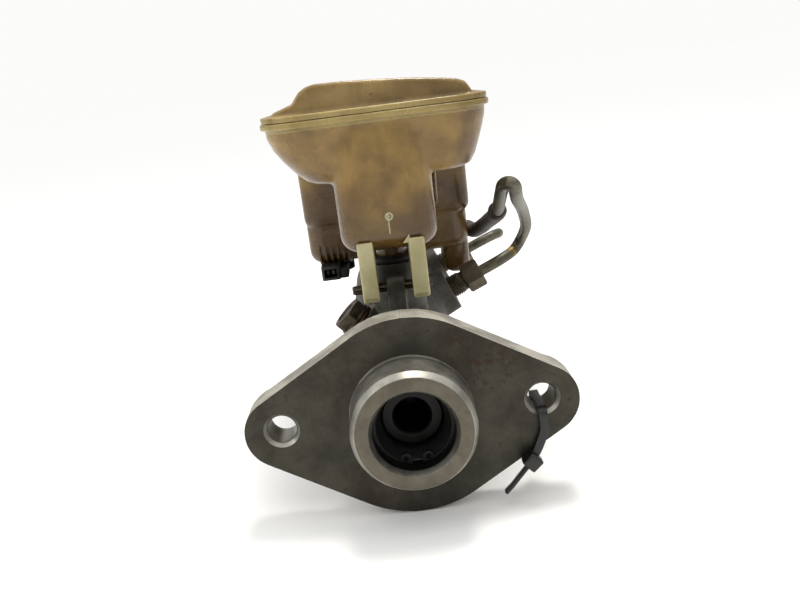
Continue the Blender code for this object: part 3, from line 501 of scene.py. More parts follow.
def metal(name, light, dark, stain, metallic, rough, grain=0.5, depth=0.03, stain_at=(0.58, 0.7),
          patch=9.0, wear=0.0, stretch=(1, 1, 1)):
    """Worn metal: patches of two tones, stains, grain, and brighter edges if wear is given."""
    p = Paint(name, metallic)
    patches = p.noise(patch, 5, 0.6, 0.2)
    fine = p.noise(grain, 3, 0.6, stretch=stretch)
    stains = p.spread(p.noise(patch * 0.45, 6, 0.62, 0.2), *stain_at)
    colour = p.mix(p.spread(patches, 0.36, 0.64), dark, light)
    colour = p.mix(p.calc("MULTIPLY", p.spread(fine, 0.5, 0.75), 0.45), colour, dark)
    colour = p.mix(p.calc("MULTIPLY", stains, 0.75), colour, stain)
    if wear:
        bright = tuple(min(1.0, c * 2.2) for c in light[:3]) + (1.0,)
        colour = p.mix(p.calc("MULTIPLY", p.worn(), wear), colour, bright)
    p.colour(colour)
    uneven = p.calc("ADD", p.calc("MULTIPLY", patches, 0.22), p.calc("MULTIPLY", stains, 0.15))
    p.rough(p.calc("ADD", uneven, rough - 0.11))
    p.bump((fine, depth), (stains, depth * 0.5))
    return p.material


def turned_metal(name, light, dark, metallic, rough, mark=0.35, along=True, stain=None):
    """Machined metal with tool marks round the bore axis: along it on cylinders, or on flat faces."""
    p = Paint(name, metallic)
    position = p.axis("Y") if along else p.distance(ORIGIN, (1, 0, 1))
    wobble = p.calc("MULTIPLY", p.noise(6.0, 2), 0.0004)
    phase = p.calc("MULTIPLY", p.calc("ADD", position, wobble), 2 * math.pi / (mark * MM))
    marks = p.scaled(p.calc("SINE", phase), 0.5, 0.5)
    patches = p.noise(7.0, 5, 0.6, 0.15)
    scratch = p.noise(0.9, 3, 0.7)
    colour = p.mix(p.spread(patches, 0.25, 0.75), dark, light)
    colour = p.mix(p.calc("MULTIPLY", p.spread(scratch, 0.55, 0.8), 0.5), colour, dark)
    colour = p.mix(p.calc("MULTIPLY", marks, 0.18), colour, dark)
    if stain:
        spots = p.spread(p.noise(3.2, 6, 0.62, 0.2), 0.56, 0.74)
        colour = p.mix(p.calc("MULTIPLY", spots, 0.7), colour, stain)
    p.colour(colour)
    p.rough(p.calc("ADD", p.calc("MULTIPLY", patches, 0.24), rough - 0.12))
    p.bump((marks, 0.006), (scratch, 0.01))
    return p.material


def flange_face():
    """Milled face: dark, fretted, with rust-brown spots and rings where nuts have sat."""
    p = Paint("flange_face", 0.75)
    clouds = p.noise(14.0, 5, 0.6, 0.2)
    streaks = p.noise(1.1, 4, 0.65, stretch=(2.2, 1, 0.5))
    mottle = p.noise(2.2, 5, 0.65, 0.2)
    colour = p.mix(p.spread(clouds, 0.34, 0.66), tone(46, 44, 38), tone(68, 65, 57))
    colour = p.mix(p.calc("MULTIPLY", p.spread(streaks, 0.45, 0.75), 0.4), colour, tone(48, 46, 40))
    colour = p.mix(p.calc("MULTIPLY", p.spread(mottle, 0.52, 0.7), 0.35), colour, tone(70, 62, 49))
    spots = p.spread(p.noise(3.0, 6, 0.6, 0.2), 0.60, 0.72)
    zone = p.spread(p.distance((24, 0, 18)), 0.010, 0.017, 1.0, 0.0)
    other = p.spread(p.distance((-18, 0, 14)), 0.008, 0.016, 0.6, 0.0)
    below = p.spread(p.distance((-14, 0, -24)), 0.006, 0.018, 0.5, 0.0)
    zones = p.calc("ADD", p.calc("ADD", zone, other), below)
    near = p.spread(p.noise(2.6, 5, 0.62, 0.2), 0.46, 0.64)
    rust = p.calc("MINIMUM", p.calc("ADD", p.calc("MULTIPLY", near, zones), spots), 1.0)
    colour = p.mix(p.calc("MULTIPLY", rust, 0.55), colour, tone(66, 47, 29))
    rings = None
    for side in (-1, 1):
        away = p.distance((side * BOLT_X, 0, 0), (1, 0, 1))
        band = p.calc("MULTIPLY", p.spread(away, 0.0078, 0.0083), p.spread(away, 0.0083, 0.0090, 1.0, 0.0))
        rings = band if rings is None else p.calc("ADD", rings, band)
    rings = p.calc("MULTIPLY", rings, p.spread(p.noise(4.0), 0.35, 0.6))
    colour = p.mix(p.calc("MULTIPLY", rings, 0.6), colour, tone(60, 50, 40))
    root = p.spread(p.distance(ORIGIN, (1, 0, 1)), 0.0191, 0.0230, 0.8, 0.0)
    colour = p.mix(root, colour, tone(58, 54, 47))
    p.colour(colour)
    p.rough(p.calc("ADD", p.calc("MULTIPLY", clouds, 0.25), p.scaled(rust, 0.2, 0.36)))
    p.bump((streaks, 0.012), (mottle, 0.02), (rings, 0.03))
    return p.material


def plastic(name, clear, deep, stain, glow=0.35, rough=0.32, amount=0.5, level=None):
    """Yellowed translucent nylon with brown fluid stains. Given a level, it is darker below that height: fluid
    staining together with painted shade under the pan.
    """
    p = Paint(name, 0.0, Subsurface_Weight=glow, Subsurface_Scale=0.004, IOR=1.5)
    p.shader.inputs["Subsurface Radius"].default_value = (1.0, 0.8, 0.45)
    p.shader.inputs["Transmission Weight"].default_value = 0.12
    clouds = p.noise(18.0, 4, 0.5, 0.2)
    blotch = p.noise(6.0, 6, 0.6, 0.2)
    runs = p.noise(3.0, 4, 0.6, 0.1, stretch=(1.6, 1.6, 0.25))
    colour = p.mix(p.spread(clouds, 0.34, 0.68), deep, clear)
    colour = p.mix(p.calc("MULTIPLY", p.spread(blotch, 0.46, 0.8), amount), colour, stain)
    colour = p.mix(p.calc("MULTIPLY", p.spread(runs, 0.5, 0.72), amount * 0.6), colour, deep)
    # Darker below the level, fading out 16 mm above it, just under the pan: fluid staining together with painted
    # shade under the pan.
    if level:
        below = p.spread(p.calc("ADD", p.axis("Z"), p.calc("MULTIPLY", clouds, 0.004)),
                         level * MM, (level + 16.0) * MM, 0.6, 0.0)
        colour = p.mix(below, colour, stain)
    specks = p.spread(p.noise(0.7, 2, 0.5), 0.72, 0.78)
    colour = p.mix(p.calc("MULTIPLY", specks, 0.7), colour, tone(60, 42, 22))
    p.colour(colour)
    p.rough(p.scaled(blotch, 0.3, rough - 0.12))
    p.bump((p.noise(7.0, 3), 0.10), (p.noise(0.8, 3), 0.008))
    return p.material


def dull(name, colour, worn_colour, rough, grain=0.6, depth=0.02, dust=0.35):
    """Rubber or black plastic, dusty and rubbed."""
    p = Paint(name, 0.0)
    patches = p.noise(6.0, 5, 0.6, 0.2)
    fine = p.noise(grain, 3, 0.6)
    mixed = p.mix(p.calc("MULTIPLY", p.spread(patches, 0.42, 0.72), dust), colour, worn_colour)
    mixed = p.mix(p.calc("MULTIPLY", p.spread(fine, 0.55, 0.75), dust), mixed, worn_colour)
    p.colour(mixed)
    p.rough(p.calc("ADD", p.calc("MULTIPLY", patches, 0.25), rough - 0.12))
    p.bump((fine, depth), (patches, depth * 2))
    return p.material


def tube_metal():
    """Coated steel tube, scuffed, with a stripe of yellow marking paint."""
    p = Paint("coated_tube", 0.55)
    patches = p.noise(5.0, 5, 0.65, 0.6)
    fine = p.noise(0.5, 3, 0.6)
    colour = p.mix(p.spread(patches, 0.36, 0.64), tone(66, 63, 50), tone(98, 94, 78))
    colour = p.mix(p.calc("MULTIPLY", p.spread(p.noise(1.8, 5, 0.65, 0.8), 0.55, 0.7), 0.7), colour,
                   tone(66, 58, 44))
    colour = p.mix(p.calc("MULTIPLY", p.spread(fine, 0.5, 0.7), 0.3), colour, tone(128, 126, 110))
    ragged = p.calc("ADD", p.distance((51.3, 112.3, 21.1)), p.calc("MULTIPLY", p.noise(1.2, 4), 0.0018))
    stripe = p.calc("MULTIPLY", p.spread(ragged, 0.0032, 0.0038, 1.0, 0.0),
                    p.spread(p.noise(0.9), 0.3, 0.42))
    p.colour(p.mix(stripe, colour, tone(140, 110, 30)))
    p.rough(p.scaled(patches, 0.3, 0.28))
    p.bump((fine, 0.012), (patches, 0.05), (stripe, 0.04))
    return p.material


CAST = metal("cast_skin", tone(168, 164, 153), tone(128, 124, 114), tone(96, 84, 66), 0.35, 0.56, 0.7, 0.07,
             (0.56, 0.76), 11.0, 0.4)
# Darker copy of the cast skin, for the casting behind the flange and for the flange's back face.
CAST_DARK = metal("cast_skin_darker", tone(92, 89, 82), tone(60, 58, 52), tone(48, 42, 33), 0.4, 0.6, 0.7, 0.08,
                  (0.5, 0.74), 9.0, 0.35)
FACE = flange_face()
TURNED = turned_metal("turned_metal", tone(168, 166, 157), tone(126, 123, 114), 0.9, 0.4)
RING_FACE = turned_metal("faced_metal", tone(108, 103, 90), tone(82, 77, 66), 0.7, 0.5, 0.3, False,
                         tone(84, 70, 50))
BORE = turned_metal("bore_metal", tone(32, 31, 28), tone(20, 19, 17), 0.7, 0.4)
PISTON = turned_metal("anodised_piston", tone(27, 26, 25), tone(16, 15, 14), 0.7, 0.42, 0.4)
STEEL = metal("plated_steel", tone(78, 70, 57), tone(50, 45, 36), tone(42, 31, 21), 0.75, 0.45, 0.4, 0.02,
              (0.56, 0.7), 4.0, 0.6)
SPRING = metal("spring_steel", tone(120, 118, 114), tone(72, 70, 67), tone(60, 50, 40), 0.95, 0.34, 0.4,
               0.008, patch=3.0)
BRASS = metal("brass", tone(188, 156, 92), tone(138, 108, 58), tone(90, 74, 40), 0.95, 0.36, 0.4, 0.01,
              patch=3.0)
COPPER = metal("soft_copper", tone(120, 78, 54), tone(82, 54, 38), tone(54, 44, 34), 0.95, 0.42, 0.4, 0.015,
               patch=3.0)
TUBE = tube_metal()
RUBBER = dull("black_rubber", tone(26, 25, 24), tone(58, 54, 48), 0.68)
SLEEVE = dull("heat_sleeve", tone(44, 38, 33), tone(84, 76, 66), 0.6, 0.5, 0.03, 0.5)
BLACK = dull("black_plastic", tone(16, 16, 16), tone(40, 38, 34), 0.45, 0.4, 0.012)
TIE = dull("tie_nylon", tone(11, 11, 11), tone(26, 25, 24), 0.38, 0.3, 0.006, 0.25)
STRAINER = dull("strainer_plastic", tone(206, 200, 172), tone(160, 146, 108), 0.42, 0.5, 0.01, 0.5)
FOAM = dull("float_foam", tone(46, 40, 34), tone(84, 74, 60), 0.8, 0.35, 0.08, 0.5)
# The tank is darker below 52 mm, fading out just under the pan: fluid staining together with painted shade under
# the pan.
TANK = plastic("tank_nylon", tone(148, 118, 58), tone(98, 70, 28), tone(62, 41, 16), rough=0.25, level=52.0)
CLEAN = plastic("lug_nylon", tone(192, 186, 146), tone(168, 160, 114), tone(140, 122, 78), 0.4, 0.32, 0.35)
RIM = plastic("rim_nylon", tone(164, 146, 92), tone(132, 112, 62), tone(98, 76, 38), 0.35, 0.26, 0.45)
COVER = plastic("cover_nylon", tone(162, 138, 86), tone(124, 100, 54), tone(88, 66, 34), 0.3, 0.2, 0.45)


# ---------------------------------------------------------------- casting

def flange_outline(grow=0.0):
    """Rounded diamond: two lobes round the bolt holes, joined by tangents to the middle arcs."""
    reach = math.hypot(BOLT_X, LOBE_DROP)
    lean = math.degrees(math.atan2(LOBE_DROP, BOLT_X))
    top = math.degrees(math.acos((FLANGE_TOP_R - LOBE_R) / reach)) - lean
    bottom = math.degrees(math.acos((FLANGE_BOTTOM_R - LOBE_R) / reach)) + lean
    points = arc((BOLT_X, -LOBE_DROP), LOBE_R + grow, -bottom, top, 24)
    points += arc((0, 0), FLANGE_TOP_R + grow, top, 180 - top, 28)
    points += arc((-BOLT_X, -LOBE_DROP), LOBE_R + grow, 180 - top, 180 + bottom, 24)
    points += arc((0, 0), FLANGE_BOTTOM_R + grow, 180 + bottom, 360 - bottom, 28)
    return points


def casting():
    """Rough casting with its fillets, then every machined face cut into it."""
    back = BARREL_END
    parts = [lathe("barrel", [(0, back), (9.2, back), (9.8, back - 2.0), (15.5, back - 2.5),
                              (BARREL_R, back - 6.5), (BARREL_R, 15.0), (22.6, 11.0), (24.5, 9.0),
                              (24.5, 2.0),
                              (19.6, 2.0), (19.6, -15.6), (0, -15.6)])]
    parts.append(slab("plate", flange_outline(), -0.8, FLANGE_THICK))
    for side in (-1, 1):
        parts.append(rod("bolt_boss", LOBE_R - 0.3, 3.0, BOSS_BACK, (side * BOLT_X, 0, -LOBE_DROP)))
    ear = [(PIN_Y - 4.0, 14.0), (PIN_Y + 9.0, 14.0), (PIN_Y + 9.0, PIN_Z - 3.0), (PIN_Y + 4.0, PIN_Z)]
    ear += arc((PIN_Y + 2.0, PIN_Z + 2.2), 2.0, 0, 90, 6) + arc((PIN_Y - 2.0, PIN_Z + 2.2), 2.0, 90, 180, 6)
    parts.append(slab("ear", ear, -3.2, 3.2, "x"))
    out, plug = radial(OUTLET_ANGLE), radial(PLUG_ANGLE)
    for y in OUTLET_Y:
        parts.append(lathe("outlet_boss", [(0, OUTLET_FACE + 0.8), (OUTLET_BOSS_R, OUTLET_FACE + 0.8),
                                           (OUTLET_BOSS_R + 0.9, 14.0), (0, 14.0)], (0, y, 0), out))
    for y, top in zip(INLET_Y, INLET_BOSS_TOP):
        parts.append(lathe("inlet_boss", [(0, top + 0.8), (10.3, top + 0.8), (11.0, 12.0), (0, 12.0)],
                           (0, y, 0), ALONG_Z))
    parts.append(rod("plug_boss", 8.3, 11.0, PLUG_FACE + 0.8, (0, PLUG_Y, 0), plug))
    parts.append(rod("stopper_boss", 6.9, 12.0, STOPPER_FACE + 0.8, (0, STOPPER_Y, 0), (0, 0, -1)))
    parts.append(slab("cast_rib", [(8.0, -14.0), (8.0, -28.5), (FLANGE_THICK + 14.5, -17.0),
                                   (FLANGE_THICK + 14.5, -14.0)], -2.4, 2.4, "x"))
    body = fuse("casting", parts, 0.6, 5)

    top = FLANGE_TOP_R
    cutters = [
        lathe("facing", [(0, -15.0), (PILOT_R - 1.35, -15.0), (PILOT_R, -12.6), (PILOT_R, -0.8),
                         (PILOT_R + 0.3, -0.3), (PILOT_R + 0.3, 0), (60, 0), (60, -25), (0, -25)],
              steps=144, fillet=0.25),
        lathe("bore", [(0, BORE_END + 3.0), (BORE_R - 4.0, BORE_END), (BORE_R, BORE_END), (BORE_R, 0.0),
                       (COUNTERBORE_R, 0.0), (COUNTERBORE_R, SNAP_GROOVE[1]),
                       (COUNTERBORE_R + 0.9, SNAP_GROOVE[1]), (COUNTERBORE_R + 0.9, SNAP_GROOVE[0]),
                       (COUNTERBORE_R, SNAP_GROOVE[0]), (COUNTERBORE_R, PILOT_FRONT + 2.1),
                       (2 * MOUTH_R - COUNTERBORE_R, PILOT_FRONT - 2.1), (0, PILOT_FRONT - 2.1)],
              steps=128, fillet=0.0),
        slab("seam_rim", [(0.6, top - 0.35), (FLANGE_THICK + 0.3, top - 0.35), (FLANGE_THICK + 0.3, top + 1),
                          (0.6, top + 1)], -0.2, 0.2, "x"),
        slab("seam_ear", [(PIN_Y - 5.0, 20.0), (PIN_Y - 3.7, 20.0), (PIN_Y - 3.7, PIN_Z + 3.9),
                          (PIN_Y + 5.0, PIN_Z + 3.9), (PIN_Y + 5.0, PIN_Z + 6), (PIN_Y - 5.0, PIN_Z + 6)],
             -0.2, 0.2, "x"),
    ]
    for x in (-BOLT_X, BOLT_X):
        cutters.append(lathe("bolt_hole", [(0, BOSS_BACK + 3), (BOLT_HOLE_R + 1.5, BOSS_BACK + 3),
                                           (BOLT_HOLE_R, BOSS_BACK - 0.6), (BOLT_HOLE_R, 1.1),
                                           (BOLT_HOLE_R + 3.1, -2.0), (0, -2.0)], (x, 0, 0), steps=72))
    for y in OUTLET_Y:
        cutters.append(lathe("outlet_port", [(0, OUTLET_FACE + 3), (12.5, OUTLET_FACE + 3),
                                             (12.5, OUTLET_FACE), (OUTLET_THREAD_R + 1.3, OUTLET_FACE),
                                             (OUTLET_THREAD_R + GAP, OUTLET_FACE - 0.8),
                                             (OUTLET_THREAD_R + GAP, 14.0), (2.0, 14.0), (2.0, 8.0),
                                             (0, 8.0)],
                             (0, y, 0), out, fillet=0.0))
    for y, top in zip(INLET_Y, INLET_BOSS_TOP):
        cutters.append(lathe("inlet_pocket", [(0, top + 3), (13.0, top + 3), (13.0, top),
                                              (INLET_POCKET_R + 0.3, top), (INLET_POCKET_R, top - 0.3),
                                              (INLET_POCKET_R, top - 8.0), (0, top - 8.0)],
                             (0, y, 0), ALONG_Z, fillet=0.0))
        cutters.append(rod("feed_hole", 1.75, 8.0, top - 6.0, (0, y - 4.8, 0), ALONG_Z, 24))
        cutters.append(rod("return_hole", 0.7, 8.0, top - 6.0, (0, y + 7.0, 0), ALONG_Z, 16))
    for point, way, face, hole, wide, deep in (((0, PLUG_Y, 0), plug, PLUG_FACE, 4.3, 9.6, 15.0),
                                               ((0, STOPPER_Y, 0), (0, 0, -1), STOPPER_FACE, 3.3, 8.0, 8.0)):
        cutters.append(lathe("spot_face", [(0, face + 3), (wide, face + 3), (wide, face), (hole + 0.5, face),
                                           (hole, face - 0.5), (hole, deep), (0, deep)], point, way,
                                           fillet=0.0))
    cutters.append(rod("ear_hole", PIN_R + GAP, -8.0, 8.0, (0, PIN_Y, PIN_Z), ALONG_X, 32))
    cut(body, *cutters)

    def choose(c, n):
        across = np.hypot(c[0], c[2])
        index = np.zeros(c.shape[1])
        # Behind the flange, and on the flange's back face, the darker copy of the cast skin is used.
        index[(c[1] > 14.0) | ((c[1] > FLANGE_THICK - 0.5) & (n[1] > 0.5))] = 1
        flat = (np.abs(c[1]) < 0.03) & (n[1] < -0.9)
        index[flat] = 2
        index[(c[1] < -0.03) & (across > COUNTERBORE_R + 0.05)] = 3
        index[(c[1] < PILOT_FRONT + 0.03) & (n[1] < -0.95)] = 4
        index[(across < COUNTERBORE_R + 1.0) & (c[1] > PILOT_FRONT + 2.0)] = 5
        index[(across < COUNTERBORE_R + 0.1) & (c[1] > PILOT_FRONT + 2.0) & (c[1] < 0.1)] = 5
        index[(across < MOUTH_R + 0.2) & (c[1] < PILOT_FRONT + 2.08)] = 3
        for x in (-BOLT_X, BOLT_X):
            hole = np.hypot(c[0] - x, c[2])
            index[(hole < BOLT_HOLE_R + 1.2) & (hole > BOLT_HOLE_R - 0.3) & (c[1] > 0.03)
                  & (n[1] > -0.95)] = 3
        for y in OUTLET_Y:
            reach = c[0] * out[0] + c[2] * out[2]
            index[(np.abs(reach - OUTLET_FACE) < 0.03) & (np.abs(c[1] - y) < 12)] = 4
        for y, top in zip(INLET_Y, INLET_BOSS_TOP):
            index[(np.abs(c[2] - top) < 0.03) & (np.hypot(c[0], c[1] - y) < 12) & (n[2] > 0.9)] = 4
        reach = c[0] * plug[0] + c[2] * plug[2]
        index[(np.abs(reach - PLUG_FACE) < 0.03) & (np.abs(c[1] - PLUG_Y) < 10)] = 4
        index[(np.abs(c[2] + STOPPER_FACE) < 0.03) & (np.abs(c[1] - STOPPER_Y) < 9)] = 4
        return index

    dress(body, "cylinder", ["cylinder_body"],
          [CAST, CAST_DARK, FACE, TURNED, RING_FACE, BORE], choose)


# ---------------------------------------------------------------- bore parts

def bore_parts():
    bush = lathe("bush", [(9.85, -GAP), (COUNTERBORE_R - GAP, -GAP), (COUNTERBORE_R - GAP, -7.4),
                          (11.6, -7.4),
                          (9.85, -3.2)], closed=True, steps=96)
    dress(bush, "cylinder", ["guide_bush"], [BLACK])

    clip = ring("clip", 11.3, COUNTERBORE_R + 0.6, SNAP_GROOVE[0] + GAP / 2, SNAP_GROOVE[1] - GAP / 2,
                steps=96)
    for side in (-1, 1):
        eye = (side * 3.4, 0, -10.2)
        join(clip, rod("eye", 1.7, SNAP_GROOVE[0] + 0.2, SNAP_GROOVE[1] - 0.2, eye, steps=32))
        cut(clip, rod("eye_hole", 0.8, -11, -5, eye, steps=24))
    cut(clip, brick("clip_gap", (-1.5, -12, -15), (1.5, -5, -7)))
    dress(clip, "cylinder", ["snap_ring"], [PISTON])

    def cup(name, node, body, inner, start, length):
        end, lip = start + length, PISTON_R + 0.15
        piece = lathe(name, [(inner + 1.4, end), (lip, end), (lip, end - 1), (PISTON_R - 0.5, start),
                             (inner, start), (inner, end - 2.2), (inner + 0.9, end - 1.6)], closed=True)
        dress(piece, body, [node], [RUBBER])

    cup("rear_seal", "primary_rear_seal", "primary", 8.7, 5.2, 3.5)
    cup("pressure_cup", "primary_cup", "primary", 6.8, PRIMARY_WAIST[1] + 2.8, 3.9)
    cup("return_cup", "secondary_rear_cup", "secondary", 7.3, 112.1, 3.6)
    cup("far_cup", "secondary_front_cup", "secondary", 6.8, SECONDARY_WAIST[1] + 1.8, 3.5)

    rear, front = PRIMARY_WAIST
    piston = lathe("push_piston", [
        (0, PRIMARY_NOSE), (8.6, PRIMARY_NOSE), (9.0, PRIMARY_NOSE - 0.5), (9.0, PRIMARY_NOSE - 1.5),
        (6.5, PRIMARY_NOSE - 1.5), (6.5, front + 2.5), (PISTON_R, front + 2.5), (PISTON_R, front),
        (8.0, front - 1.0), (8.0, rear + 1.0), (PISTON_R, rear), (PISTON_R, 9.0), (8.4, 9.0), (8.4, 5.0),
        (PISTON_R, 5.0), (PISTON_R, 0.6), (9.5, 0.6), (9.5, -0.6), (9.1, -1.0), (0, -1.0)], steps=96)
    cut(piston, lathe("socket", [(0, 19.0), (3.4, 17.0), (SOCKET_R, 13.0), (SOCKET_R, -0.4),
                                 (SOCKET_R + 2.2, -2.6), (0, -2.6)]),
        rod("screw_hole", 2.6, 50.0, PRIMARY_NOSE + 1.0))
    dress(piston, "primary", ["primary_piston"], [PISTON])

    rear, front = SECONDARY_WAIST
    floating = lathe("floating_piston", [
        (0, SECONDARY_NOSE), (8.6, SECONDARY_NOSE), (9.0, SECONDARY_NOSE - 0.5), (9.0, SECONDARY_NOSE - 1.3),
        (6.5, SECONDARY_NOSE - 1.3), (6.5, front + 1.5), (PISTON_R, front + 1.5), (PISTON_R, front),
        (7.5, front), (7.5, rear), (PISTON_R, rear), (PISTON_R, 116.0), (7.0, 116.0), (7.0, 111.8),
        (PISTON_R, 111.8), (PISTON_R, SECONDARY_REAR), (0, SECONDARY_REAR)], steps=96)
    cut(floating, rod("screw_recess", 3.9, SECONDARY_REAR - 1.0, SECONDARY_REAR + 6.0),
        rod("spring_recess", 4.2, SECONDARY_NOSE - 9.0, SECONDARY_NOSE + 1.0))
    dress(floating, "secondary", ["secondary_piston"], [PISTON])

    screw = lathe("cage_screw", [(0, 96.2), (2.4, 96.2), (2.9, 95.7), (2.9, 93.8), (1.6, 93.8), (1.6, 68.0),
                                 (2.3, 67.5), (2.3, 51.0), (0, 51.0)], steps=48)
    dress(screw, "primary", ["spring_bolt"], [STEEL])
    face = SECONDARY_REAR - GAP
    hat = lathe("top_hat", [(2.0, 93.4), (3.5, 93.4), (3.5, face), (8.8, face), (8.8, face - 1.0),
                            (4.4, face - 1.0), (4.4, 92.4), (2.0, 92.4)], closed=True)
    dress(hat, "secondary", ["spring_retainer"], [STEEL])

    def spring(name, node, mean, wire, start, end, turns, body):
        points = []
        per_turn = 30
        count = turns * per_turn
        for i in range(count + 1):
            t = i / count
            last = 0.75 / turns
            rise = min(max((t - last) / (1 - 2 * last), 0.0), 1.0)
            closed = min(t, last) + max(t - 1 + last, 0.0)
            along = start + closed * turns * wire * 2.1 + rise * (end - start - 3.15 * wire)
            angle = 2 * math.pi * turns * t
            points.append(Vector((mean * math.cos(angle), along, mean * math.sin(angle))))
        piece = sweep(name, points, wire, 12)
        dress(piece, body, [node], [SPRING])
        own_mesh(piece)

    spring("cage_spring", "primary_spring", 7.0, 1.1, PRIMARY_NOSE + 1.4, SECONDARY_REAR - 2.7, 7,
           "secondary")
    spring("far_spring", "secondary_spring", 6.6, 0.9, SECONDARY_NOSE + 1.2, BORE_END - 1.3, 6, "cylinder")


# ---------------------------------------------------------------- bolts, nuts and tubes

def hexagon(name, across_flats, start, end, point, direction, chamfer=0.9, turn=0.0):
    """Hexagon with its corners turned off at both ends."""
    radius = across_flats / 2 / math.cos(math.radians(30))
    loops = []
    for d in (start, end):
        loops.append([Vector((radius * math.cos(math.radians(60 * k + turn)),
                              radius * math.sin(math.radians(60 * k + turn)), d)) for k in range(6)])
    head = skin(name, loops)
    head.data.transform(facing(point, direction))
    wide, flat = radius + 0.05, across_flats / 2 - 0.1
    trim = lathe("corner_trim", [(0, end), (flat, end), (wide, end - chamfer * 0.6),
                                 (wide, start + chamfer * 0.6),
                                 (flat, start), (0, start)], point, direction, 96)
    return combine(head, [trim], "INTERSECT")


def thread(name, outer, depth, start, end, point, direction, pitch=THREAD_PITCH, steps=40, bore=0.0):
    """Rod or, with a bore, sleeve with a helical V thread that fades out at both ends."""
    stand = facing(point, direction)
    per_turn = 8
    rows = int((end - start) / pitch * per_turn)
    loops = []
    for i in range(rows + 1):
        d = start + (end - start) * i / rows
        fade = min(1.0, (d - start) / pitch, (end - d) / pitch)
        loop = []
        for k in range(steps):
            turn = k / steps
            crest = abs(2 * ((d / pitch - turn) % 1.0) - 1.0)
            r = outer - depth + depth * fade * min(1.0, crest * 1.25)
            angle = 2 * math.pi * turn
            loop.append(stand @ Vector((r * math.cos(angle) * MM, r * math.sin(angle) * MM, d * MM)) / MM)
        loops.append(loop)
    if bore:
        for d in (end, start):
            loops.append([stand @ Vector((bore * math.cos(2 * math.pi * k / steps) * MM,
                                          bore * math.sin(2 * math.pi * k / steps) * MM, d * MM)) / MM
                          for k in range(steps)])
    return skin(name, loops, not bore)


def bolts():
    for name, point, way, face, flats, head, shank, tip, tip_r in (
            ("stopper", (0, STOPPER_Y, 0), (0, 0, -1), STOPPER_FACE, 10.0, 4.0, 3.0, 8.4, 2.0),
            ("side", (0, PLUG_Y, 0), radial(PLUG_ANGLE), PLUG_FACE, 12.0, 4.4, 4.0, 15.6, 4.0)):
        top = face + 1.9 + head
        bolt = hexagon(name + "_screw", flats, face + 1.9, top, point, way, 0.9, 12.0)
        collar = flats / 2 + 0.6
        profile = [(0, face + 2.6), (collar, face + 2.6), (collar, face + 1.6), (shank, face + 1.6)]
        profile += [(shank, 13.0), (tip_r, 12.8), (tip_r, tip)] if tip_r < shank else [(shank, tip)]
        join(bolt, lathe("collar", profile + [(0, tip)], point, way, fillet=0.3))
        cut(bolt, lathe("head_dish", [(0, top + 1), (flats / 2 - 1.3, top + 1), (flats / 2 - 2.0, top - 0.5),
                                      (0, top - 0.5)], point, way))
        node = "stopper_bolt" if name == "stopper" else "side_plug"
        dress(bolt, "cylinder", [node], [STEEL])
    for node, point, way, face, inner, outer in (
            ("stopper_gasket", (0, STOPPER_Y, 0), (0, 0, -1), STOPPER_FACE, 3.4, 5.6),
            ("side_plug_gasket", (0, PLUG_Y, 0), radial(PLUG_ANGLE), PLUG_FACE, 4.4, 6.8)):
        washer = ring(node + "_ring", inner, outer, face + GAP, face + 1.3, point, way, fillet=0.3)
        dress(washer, "cylinder", [node], [COPPER])


def nuts():
    out = radial(OUTLET_ANGLE)
    for tag, y, turn in (("primary", OUTLET_Y[0], 8.0), ("secondary", OUTLET_Y[1], 24.0)):
        point = (0, y, 0)
        seat = lathe("seat_" + tag, [(1.6, 17.2), (2.2, 17.2), (4.6, 15.0), (4.6, 14.0 + GAP),
                                     (1.6, 14.0 + GAP)],
                     point, out, closed=True)
        dress(seat, "cylinder", ["outlet_seat_" + tag], [BRASS])
        nut = hexagon("nut_" + tag, 11.0, 32.5, 40.5, point, out, 1.1, turn)
        join(nut, lathe("nut_neck", [(0, 34.0), (4.2, 34.0), (4.2, 29.0), (0, 29.0)], point, out),
             thread("nut_thread", OUTLET_THREAD_R, 0.55, 19.2, 31.2, point, out, 1.0, 48))
        cut(nut, lathe("nut_bore", [(0, 45), (TUBE_R + 2.0, 45), (TUBE_R + 0.3, 39.8), (TUBE_R + 0.3, 15),
                                    (0, 15)],
                       point, out))
        dress(nut, "cylinder", ["flare_nut_" + tag], [STEEL], sharp=26)


PRIMARY_ROUTE = [(47, 109, 19.5), (53, 113, 21.8), (56.5, 112, 26.8), (57, 101, 34), (55, 91, 40.5),
                 (52, 79, 46.2), (48, 62, 51.8), (45.8, 51, 56), (44.6, 45, 59.2), (42.8, 43.2, 60.9),
                 (41.2, 47, 60), (41.4, 55, 56.5), (42, 66, 51.5), (42.8, 78, 46.4), (43.8, 96, 41),
                 (43.6, 114, 36), (41.4, 128, 30.8), (39.0, 138, 27.8), (37.2, 149, 27.6),
                 (33, 158, 28.5), (26, 164, 29.5), (18, 167, 30)]
SECONDARY_ROUTE = [(45, 155, 19), (50, 156, 20.6), (53.2, 159.5, 20.6), (54.4, 166, 19.4)]
SLEEVE_RANGE = (79.0, 151.0)


